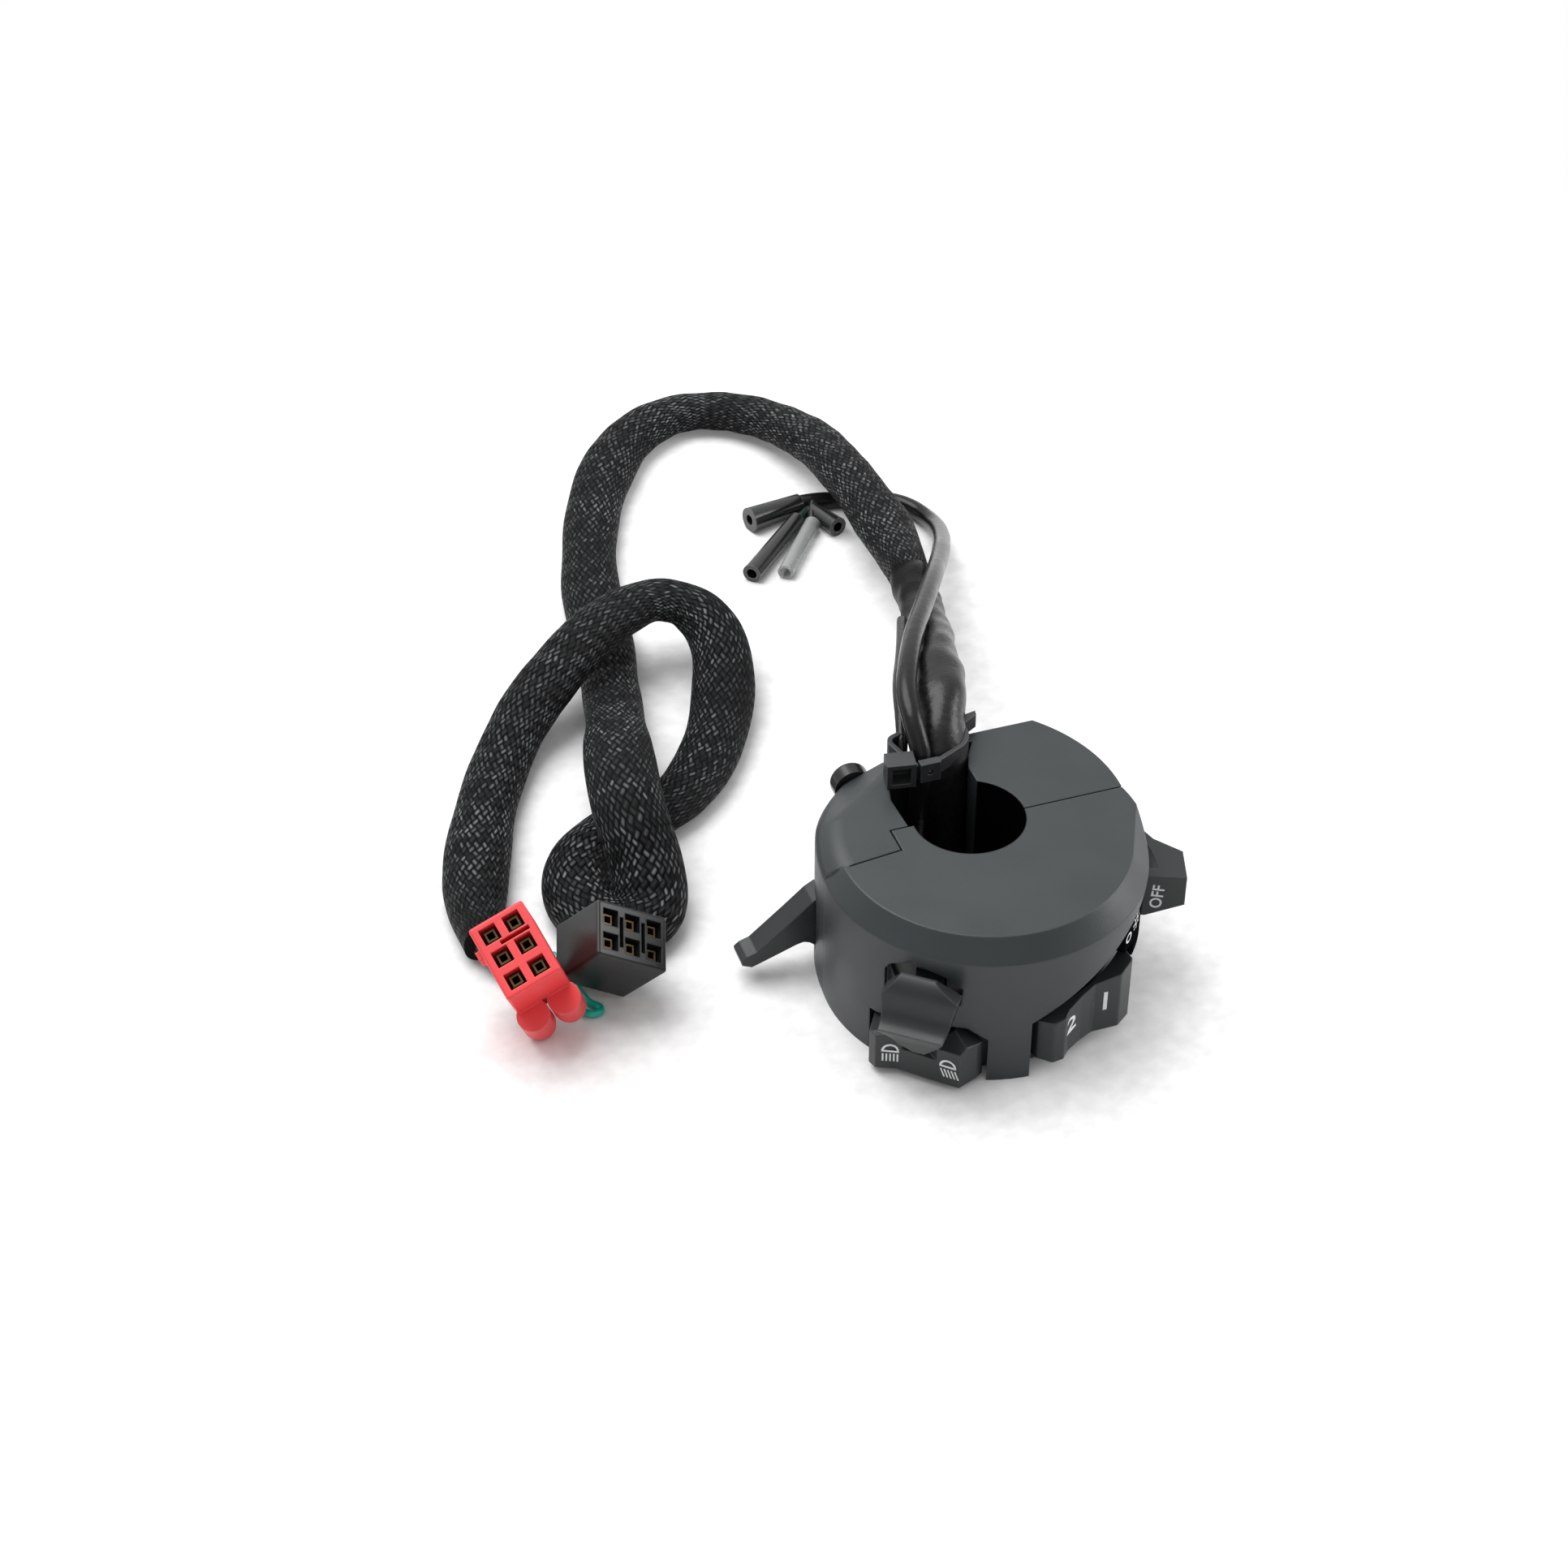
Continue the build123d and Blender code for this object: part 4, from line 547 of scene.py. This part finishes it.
def moulded(name, colour, edge_wear_and_highlight_colour, roughness, grain_scale=3000.0, grain_depth=0.00002, edge_wear_and_highlight=0.5,
            coat=0.0, metallic=0.0, edge_radius=0.0004, shine=0.5):
    """A moulded or pressed surface: its grain, a drift in tone, and edges a little paler, partly wear and
    partly painted highlight.
    """
    tone_drift, roughness_drift, least_roughness = 0.12, 0.06, 0.02
    material = bpy.data.materials.new(name)
    tree = node_tree(material)
    grain = use_group(tree, GRAIN, Scale=grain_scale)
    edges = use_group(tree, EDGES, Breadth=edge_radius)
    tone = colour_mix(tree, grain.outputs["Drift"], [part * (1 - tone_drift) for part in colour],
                      [part * (1 + tone_drift) for part in colour])
    # Paler edges: partly wear and partly painted highlight along chamfers and rims.
    edge_wear_and_highlight_mask = math_node(tree, "MULTIPLY", edges.outputs["Edge"], edge_wear_and_highlight)
    rough = ranged(tree, grain.outputs["Drift"], given=(0.35, 0.65),
                   wanted=(max(least_roughness, roughness - roughness_drift), roughness + roughness_drift))
    bump = add_node(tree, "ShaderNodeBump", {"Distance": grain_depth, "Strength": 1.0},
                    Height=grain.outputs["Grain"], Normal=edges.outputs["Normal"])
    values = {"Metallic": metallic, "Coat Weight": coat, "Coat Roughness": 0.12,
              "Specular IOR Level": shine}
    plastic(tree, values, Base_Color=colour_mix(tree, edge_wear_and_highlight_mask, tone, edge_wear_and_highlight_colour), Roughness=rough,
            Normal=bump.outputs["Normal"])
    return material


def wire_vinyl(name, colour):
    """The glossy vinyl of a single wire, which has no paler edges."""
    return moulded(name, colour, colour, 0.3, grain_scale=500.0, edge_wear_and_highlight=0.0, coat=0.3)


def round_cord(name, route, diameter, material, node):
    """A plain round cord as a bevelled curve that replaces its CAD tube."""
    piece = nurbs_curve(name, route)
    piece.data.bevel_depth = diameter / 2
    piece.data.bevel_resolution = 6
    piece.data.use_fill_caps = True
    piece.data.materials.append(material)
    line, lengths = curve_line(name + "_line", route)
    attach(piece, "case")
    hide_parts(node)


def round_tube(name, route, radius):
    """A plain tube along a route in millimetres."""
    line = curve_line(name + "_line", route)[0]
    return tube_mesh(name, line, line_frames(line),
                     lambda index, angle: (radius * math.cos(angle), radius * math.sin(angle)), around=16)


def joined(name, parts):
    """One piece out of several tubes, each with a material of its own."""
    shape = bmesh.new()
    mesh = bpy.data.meshes.new(name)
    for index, (part, material) in enumerate(parts):
        first = len(shape.faces)
        shape.from_mesh(part.data)
        shape.faces.ensure_lookup_table()
        for face in shape.faces[first:]:
            face.material_index = index
        mesh.materials.append(material)
        bpy.data.objects.remove(part)
    shape.to_mesh(mesh)
    shape.free()
    return placed(name, mesh)


VINYL = moulded("black_vinyl", (0.006, 0.0062, 0.0065), (0.03, 0.03, 0.03), 0.26, grain_scale=400.0,
                grain_depth=0.0001, edge_wear_and_highlight=0.0, shine=0.3)
TAIL_ROUTES = [[(24, 159.3, 2.1), (21.5, 159.6, 2.2), (18.5, 158.8, 2.4)],
               [(24, 158.8, 1.7), (20.5, 156, 1.3), (16.8, 152.2, 1.9)],
               [(24, 158.8, 2.7), (22.2, 154.4, 2.6), (20.2, 149.6, 1.9)],
               [(24.2, 158.7, 1.8), (23.9, 157.2, 1.7), (23.3, 154.6, 1.9)]]
TAIL_COLOURS = [(0.006, 0.006, 0.007), (0.02, 0.035, 0.03), (0.01, 0.012, 0.014), (0.05, 0.016, 0.01)]


def boot_tails():
    """The thin wires that fan out from the lead's end into the boots."""
    radius = 0.001
    parts = []
    for index, (route, colour) in enumerate(zip(TAIL_ROUTES, TAIL_COLOURS)):
        finish = wire_vinyl("tail_vinyl_%d" % index, colour)
        parts.append((round_tube("tail_%d" % index, route, radius), finish))
    piece = joined("boot_tails", parts)
    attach(piece, "case")
    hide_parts("boot_stubs")
    return piece


lead_pieces = [nodes[name] for name in ("lead_boot", "long_boot", "clear_sleeve", "short_boot")]
lead_pieces.append(boot_tails())
round_cord("second_lead", LEAD_ROUTE, 0.0042, VINYL, "lead_tube")
round_cord("thin_strand", STRAND_ROUTE, 0.0024, VINYL, "side_strand")


# Boots and clear sleeve
# Soft glossy black vinyl boots slipped over the lead's terminals, paler along the edges, partly
# where they were cut and partly as painted highlight, and one sleeve of cloudy clear tube.

def finish_with(material, *names):
    """Gives CAD nodes a finished material in place of their plain one."""
    for name in names:
        for place in nodes[name].material_slots:
            place.material = material


finish_with(moulded("boot_vinyl", (0.011, 0.012, 0.0125), (0.22, 0.22, 0.22), 0.28, grain_scale=500.0,
                    grain_depth=0.00005, edge_wear_and_highlight=0.7, coat=0.5), "lead_boot", "long_boot", "short_boot")


def cloudy_material():
    """Clear vinyl tube gone milky, with uneven patches."""
    material = bpy.data.materials.new("cloudy_vinyl")
    tree = node_tree(material)
    grain = use_group(tree, GRAIN, Scale=700.0)
    bump = add_node(tree, "ShaderNodeBump", {"Distance": 0.00005}, Height=grain.outputs["Grain"])
    plastic(tree, {"Transmission Weight": 0.55, "IOR": 1.45}, Normal=bump.outputs["Normal"],
            Base_Color=colour_mix(tree, grain.outputs["Drift"], (0.36, 0.38, 0.38), (0.66, 0.68, 0.67)),
            Roughness=ranged(tree, grain.outputs["Grain"], wanted=(0.12, 0.35)))
    return material


finish_with(cloudy_material(), "clear_sleeve")


# Six-way connectors
# A coral-red housing with two round lugs beneath and a black one beside it, both of nylon, with
# dark brass sockets deep in their cavities. Six thin wires reach each from the sleeve.

finish_with(moulded("red_nylon", (0.76, 0.045, 0.05), (0.95, 0.3, 0.26), 0.42, grain_scale=1800.0,
                    edge_wear_and_highlight=0.6, edge_radius=0.0003), "red_connector")
finish_with(moulded("black_nylon", (0.009, 0.0098, 0.0102), (0.05, 0.052, 0.054), 0.34, grain_scale=1800.0,
                    edge_wear_and_highlight=0.5, edge_radius=0.0003, shine=0.4), "black_connector")
finish_with(moulded("dark_brass", (0.09, 0.065, 0.03), (0.32, 0.26, 0.15), 0.42, grain_scale=1500.0,
                    edge_wear_and_highlight=0.35, metallic=1.0, edge_radius=0.0001), "red_terminals", "black_terminals")

WIRE_COLOURS = [(0.008, 0.008, 0.009), (0.02, 0.09, 0.05), (0.16, 0.035, 0.018), (0.25, 0.25, 0.24),
                (0.02, 0.03, 0.12), (0.09, 0.045, 0.02)]
# Each loom's axes are the directions in which its connector's columns and rows are counted.
RED_LOOM = [(-93.9, 34.6, 4.5), (-93.7, 32.8, 4.5), (-92.6, 25.8, 3.2), (-88.8, 18.9, 2.8),
            (-86.3, 12.4, 7), (-88.1, 9.2, 12.6)]
RED_AXES = (Vector((0.9358, 0.0747, 0.3445)), Vector((-0.2267, 0.8759, 0.426)))
BLACK_LOOM = [(-89.5, 35.0, 4.5), (-89.3, 32.8, 4.5), (-87, 26.5, 3.2), (-82.8, 20.8, 2.4),
              (-77, 16, 3.2), (-73.5, 12, 8)]
BLACK_AXES = (Vector((0.8413, -0.0095, -0.5405)), Vector((0.2667, 0.8771, 0.3995)))
TEAL_ROUTE = [(-80, 21, 3.4), (-78.2, 16, 2.2), (-77.4, 11.5, 1.2), (-76.5, 7.4, 1.0), (-74.4, 5.6, 1.0),
              (-75.2, 3.9, 1.0), (-77.9, 4.4, 1.0), (-79, 7.2, 1.0)]


def wire_loom(name, route, axes, columns, rows, with_pieces):
    """Six wires that leave the sleeve as one bunch and part towards the connector's cavities."""
    wire_radius, bunch_radius, cavity_pitch = 0.00075, 0.00135, 0.0026
    twist_per_metre = 90
    parting_share = 0.5
    line, lengths = curve_line(name + "_line", route)
    frames = line_frames(line)
    whole = lengths[-1]
    across, up = axes
    parts = []
    for index, colour in enumerate(WIRE_COLOURS):
        column, row = index % columns - (columns - 1) / 2, index // columns - (rows - 1) / 2
        fanned = (across * column + up * row) * cavity_pitch
        wire = []
        for point, (_, side, rise), length in zip(line, frames, lengths):
            turn = 2 * math.pi * index / len(WIRE_COLOURS) + length * twist_per_metre
            bunched = (side * math.cos(turn) + rise * math.sin(turn)) * bunch_radius
            wire.append(point + bunched.lerp(fanned, eased(length, whole * parting_share, whole)))
        finish = wire_vinyl("%s_vinyl_%d" % (name, index), colour)
        tube = tube_mesh("%s_%d" % (name, index), wire, line_frames(wire),
                         lambda place, angle: (wire_radius * math.cos(angle),
                                               wire_radius * math.sin(angle)), around=12)
        parts.append((tube, finish))
    piece = joined(name, parts)
    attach(piece, "case")
    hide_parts(name)


def teal_wire():
    """A spare teal wire that loops out on the floor between the connectors."""
    piece = round_tube("teal_wire", TEAL_ROUTE, radius=0.0008)
    piece.data.materials.append(wire_vinyl("teal_vinyl", (0.0, 0.42, 0.31)))
    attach(piece, "case")
    return piece


wire_loom("red_wires", RED_LOOM, RED_AXES, columns=2, rows=3,
          with_pieces=[nodes["red_connector"], nodes["red_terminals"]])
wire_loom("black_wires", BLACK_LOOM, BLACK_AXES, columns=3, rows=2,
          with_pieces=[nodes["black_connector"], nodes["black_terminals"], teal_wire()])


# Cable tie
# A black nylon strap pulled tight round the bundle just above the slot, with its square head to
# the left, a small tab and a cut tail. It is smooth, and its edges are painted paler than the case's,
# partly wear and partly painted highlight.

finish_with(moulded("tie_nylon", (0.028, 0.031, 0.032), (0.10, 0.105, 0.11), 0.33, grain_scale=900.0,
                    edge_wear_and_highlight=0.8, edge_radius=0.0003), "cable_tie")


# Case halves, screws and inner pieces
# Both halves are moulded in black plastic with a satin grain, a little paler along the chamfer
# and the seam, partly wear and partly painted highlight. The wall of the bar's bore is painted
# near-black as shade. The screws are black oxide steel.

def paint_bore_shade(material):
    """Painted shade: takes the tone and the shine out of the wall of the bar's bore, which stays in shadow.
    """
    bore_wall, open_air = 0.01115, 0.0114
    least_shine = 0.02
    painted_bore_shade_colour = (0.001, 0.001, 0.001)
    tree = material.node_tree
    shader = next(node for node in tree.nodes if node.type == "BSDF_PRINCIPLED")
    colour, shine = shader.inputs["Base Color"], shader.inputs["Specular IOR Level"]
    coords = add_node(tree, "ShaderNodeTexCoord")
    flat = vector_node(tree, "MULTIPLY", coords.outputs["Object"], (1, 1, 0), result="Vector")
    outside = ranged(tree, vector_node(tree, "LENGTH", flat), given=(bore_wall, open_air),
                     wanted=(least_shine, 1.0))
    # Painted shade: near-black and without shine inside the bore's radius.
    tree.links.new(math_node(tree, "MULTIPLY", outside, shine.default_value), shine)
    tree.links.new(colour_mix(tree, outside, painted_bore_shade_colour, colour.links[0].from_socket), colour)


CASE = moulded("case_plastic", (0.027, 0.0325, 0.0345), (0.12, 0.13, 0.135), 0.4, grain_scale=2600.0,
               grain_depth=0.000025, edge_wear_and_highlight=0.6, edge_radius=0.0005, shine=0.42)
paint_bore_shade(CASE)
finish_with(CASE, "front_case", "rear_case")
finish_with(moulded("black_oxide", (0.02, 0.02, 0.021), (0.3, 0.3, 0.3), 0.28, grain_scale=1500.0,
                    edge_wear_and_highlight=0.35, metallic=0.6, edge_radius=0.0003, coat=0.2), "case_screws")
finish_with(moulded("inner_plastic", (0.05, 0.05, 0.048), (0.11, 0.11, 0.105), 0.5, edge_wear_and_highlight=0.3),
            "trigger_switch", "turn_carrier", "turn_base", "beam_switch", "mode_switch", "light_base")
finish_with(moulded("plain_steel", (0.42, 0.42, 0.41), (0.62, 0.62, 0.6), 0.3, grain_scale=1800.0,
                    edge_wear_and_highlight=0.4, metallic=1.0, edge_radius=0.0001),
            "trigger_pin", "trigger_spring", "turn_detent_ball", "turn_detent_spring", "cancel_spring",
            "beam_pin", "mode_pin", "light_detent_ball", "light_detent_spring")


# Controls
# The trigger, the paddle, both rockers and the light lever share one finer-grained black plastic,
# a little darker and smoother than the case. The rockers, the lever and the near-black band under
# it, which has no shine at all, carry white pad-printed marks.

CONTROL = moulded("control_plastic", (0.017, 0.0195, 0.0205), (0.09, 0.098, 0.1), 0.36, grain_scale=3600.0,
                  grain_depth=0.000015, edge_wear_and_highlight=0.65, edge_radius=0.0005, shine=0.42)
finish_with(CONTROL, "trigger_lever", "turn_paddle", "beam_rocker", "mode_rocker", "light_lever")
finish_with(moulded("band_plastic", (0.004, 0.0045, 0.005), (0.02, 0.022, 0.023), 0.55, edge_wear_and_highlight=0.3, shine=0.0),
            "light_band")


def ink_material():
    """White pad-printing ink, thin in places."""
    material = bpy.data.materials.new("white_ink")
    tree = node_tree(material)
    grain = use_group(tree, GRAIN, Scale=4200.0)
    plastic(tree, {}, Base_Color=colour_mix(tree, grain.outputs["Grain"], (0.42, 0.44, 0.45),
                                            (0.86, 0.87, 0.87)),
            Roughness=ranged(tree, grain.outputs["Drift"], wanted=(0.4, 0.6)))
    return material


INK = ink_material()


def word_shape(word):
    """Vertices and faces of a word, one unit high, centred."""
    data = bpy.data.curves.new("word", "FONT")
    data.body = word
    data.align_x = "CENTER"
    data.align_y = "CENTER"
    data.resolution_u = 3
    data.offset = 0.015
    holder = placed("word", data)
    bpy.context.view_layer.update()
    mesh = bpy.data.meshes.new_from_object(holder)
    points = [(vertex.co.x, vertex.co.y) for vertex in mesh.vertices]
    faces = [tuple(face.vertices) for face in mesh.polygons]
    bpy.data.objects.remove(holder)
    return points, faces


def bar_shape(start, end, width):
    """A straight stroke as a quad."""
    (x0, y0), (x1, y1) = start, end
    length = math.hypot(x1 - x0, y1 - y0)
    dx, dy = -(y1 - y0) / length * width / 2, (x1 - x0) / length * width / 2
    corners = [(x0 + dx, y0 + dy), (x0 - dx, y0 - dy), (x1 - dx, y1 - dy), (x1 + dx, y1 + dy)]
    return corners, [(0, 1, 2, 3)]


def arc_shape(radius, width, start, end):
    """A curved stroke about the mark's middle, between two angles in degrees."""
    steps = 20
    points, faces = [], []
    for step in range(steps + 1):
        turn = math.radians(start + (end - start) * step / steps)
        for reach in (radius + width / 2, radius - width / 2):
            points.append((reach * math.cos(turn), reach * math.sin(turn)))
    for step in range(steps):
        faces.append((2 * step, 2 * step + 1, 2 * step + 3, 2 * step + 2))
    return points, faces


def merged(shapes):
    """Several shapes as one."""
    points, faces = [], []
    for more_points, more_faces in shapes:
        base = len(points)
        points += more_points
        faces += [tuple(base + index for index in face) for face in more_faces]
    return points, faces


def lamp_shape(drop):
    """A headlamp mark: a D with five rays, level for high beam or dropping for low beam."""
    bowl_radius, bowl_top, bowl_width = 0.42, 0.48, 0.13
    rays, first_ray, ray_gap, ray_width = 5, -0.4, 0.2, 0.09
    ray_start, ray_end = -0.2, -0.75
    shapes = [arc_shape(bowl_radius, bowl_width, -90, 90),
              bar_shape((0, -bowl_top), (0, bowl_top), bowl_width)]
    for row in range(rays):
        y = first_ray + ray_gap * row
        shapes.append(bar_shape((ray_start, y), (ray_end, y - drop), ray_width))
    return merged(shapes)


def sun_shape():
    """A lamp mark: a ring with eight short rays."""
    ring_radius, ring_width = 0.25, 0.12
    rays, ray_start, ray_end, ray_width = 8, 0.38, 0.6, 0.1
    shapes = [arc_shape(ring_radius, ring_width, 0, 360)]
    for ray in range(rays):
        turn = math.radians(360 / rays * ray)
        shapes.append(bar_shape((ray_start * math.cos(turn), ray_start * math.sin(turn)),
                                (ray_end * math.cos(turn), ray_end * math.sin(turn)), ray_width))
    return merged(shapes)


def print_mark(name, shape, node, body, place, outward, across, size):
    """Ink laid on a CAD surface: each point is dropped on to it along the pad's line of travel."""
    pad_height, ink_height = 0.004, 0.00005
    outward = Vector(outward).normalized()
    across = (Vector(across) - outward * Vector(across).dot(outward)).normalized()
    up = outward.cross(across)
    points, faces = shape
    spots = []
    for x, y in points:
        aim = Vector(place) * MM + (across * x + up * y) * size * MM
        hit, spot, normal, _ = nodes[node].ray_cast(aim + outward * pad_height, -outward)
        spots.append(spot + normal * ink_height if hit else aim)
    mesh = bpy.data.meshes.new(name)
    mesh.from_pydata(spots, [], faces)
    mesh.materials.append(INK)
    piece = placed(name, mesh)
    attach(piece, body)


print_mark("high_beam_mark", lamp_shape(drop=0.0), "beam_rocker", "beam",
           place=(-26.85, -29.52, 6.1), outward=(-0.392, -0.92, 0), across=(0, 0, 1), size=3.6)
print_mark("low_beam_mark", lamp_shape(drop=0.22), "beam_rocker", "beam",
           place=(-18.1, -37.38, 6.2), outward=(-0.683, -0.73, 0), across=(0, 0, 1), size=3.6)
print_mark("mode_one_mark", word_shape("1"), "mode_rocker", "mode",
           place=(15.4, -34.65, 10.6), outward=(0, -1, 0), across=(1, 0, 0), size=6.5)
print_mark("mode_two_mark", word_shape("2"), "mode_rocker", "mode",
           place=(7.0, -37.8, 10.1), outward=(-0.2, -0.98, 0), across=(1, 0, 0), size=5.0)
print_mark("band_lamp_mark", sun_shape(), "light_band", "case",
           place=(24.6, -26.9, 22.4), outward=(0.3, -0.954, 0), across=(1, 0, 0), size=3.2)
print_mark("band_ring_mark", arc_shape(radius=0.3, width=0.14, start=0, end=360), "light_band", "case",
           place=(21.6, -29.9, 21.4), outward=(0.3, -0.954, 0), across=(1, 0, 0), size=3.2)
print_mark("off_mark", word_shape("OFF"), "light_lever", "light",
           place=(33.2, -18.3, 18.9), outward=(-0.375, -0.927, 0), across=(0.1, 0, 1), size=3.4)
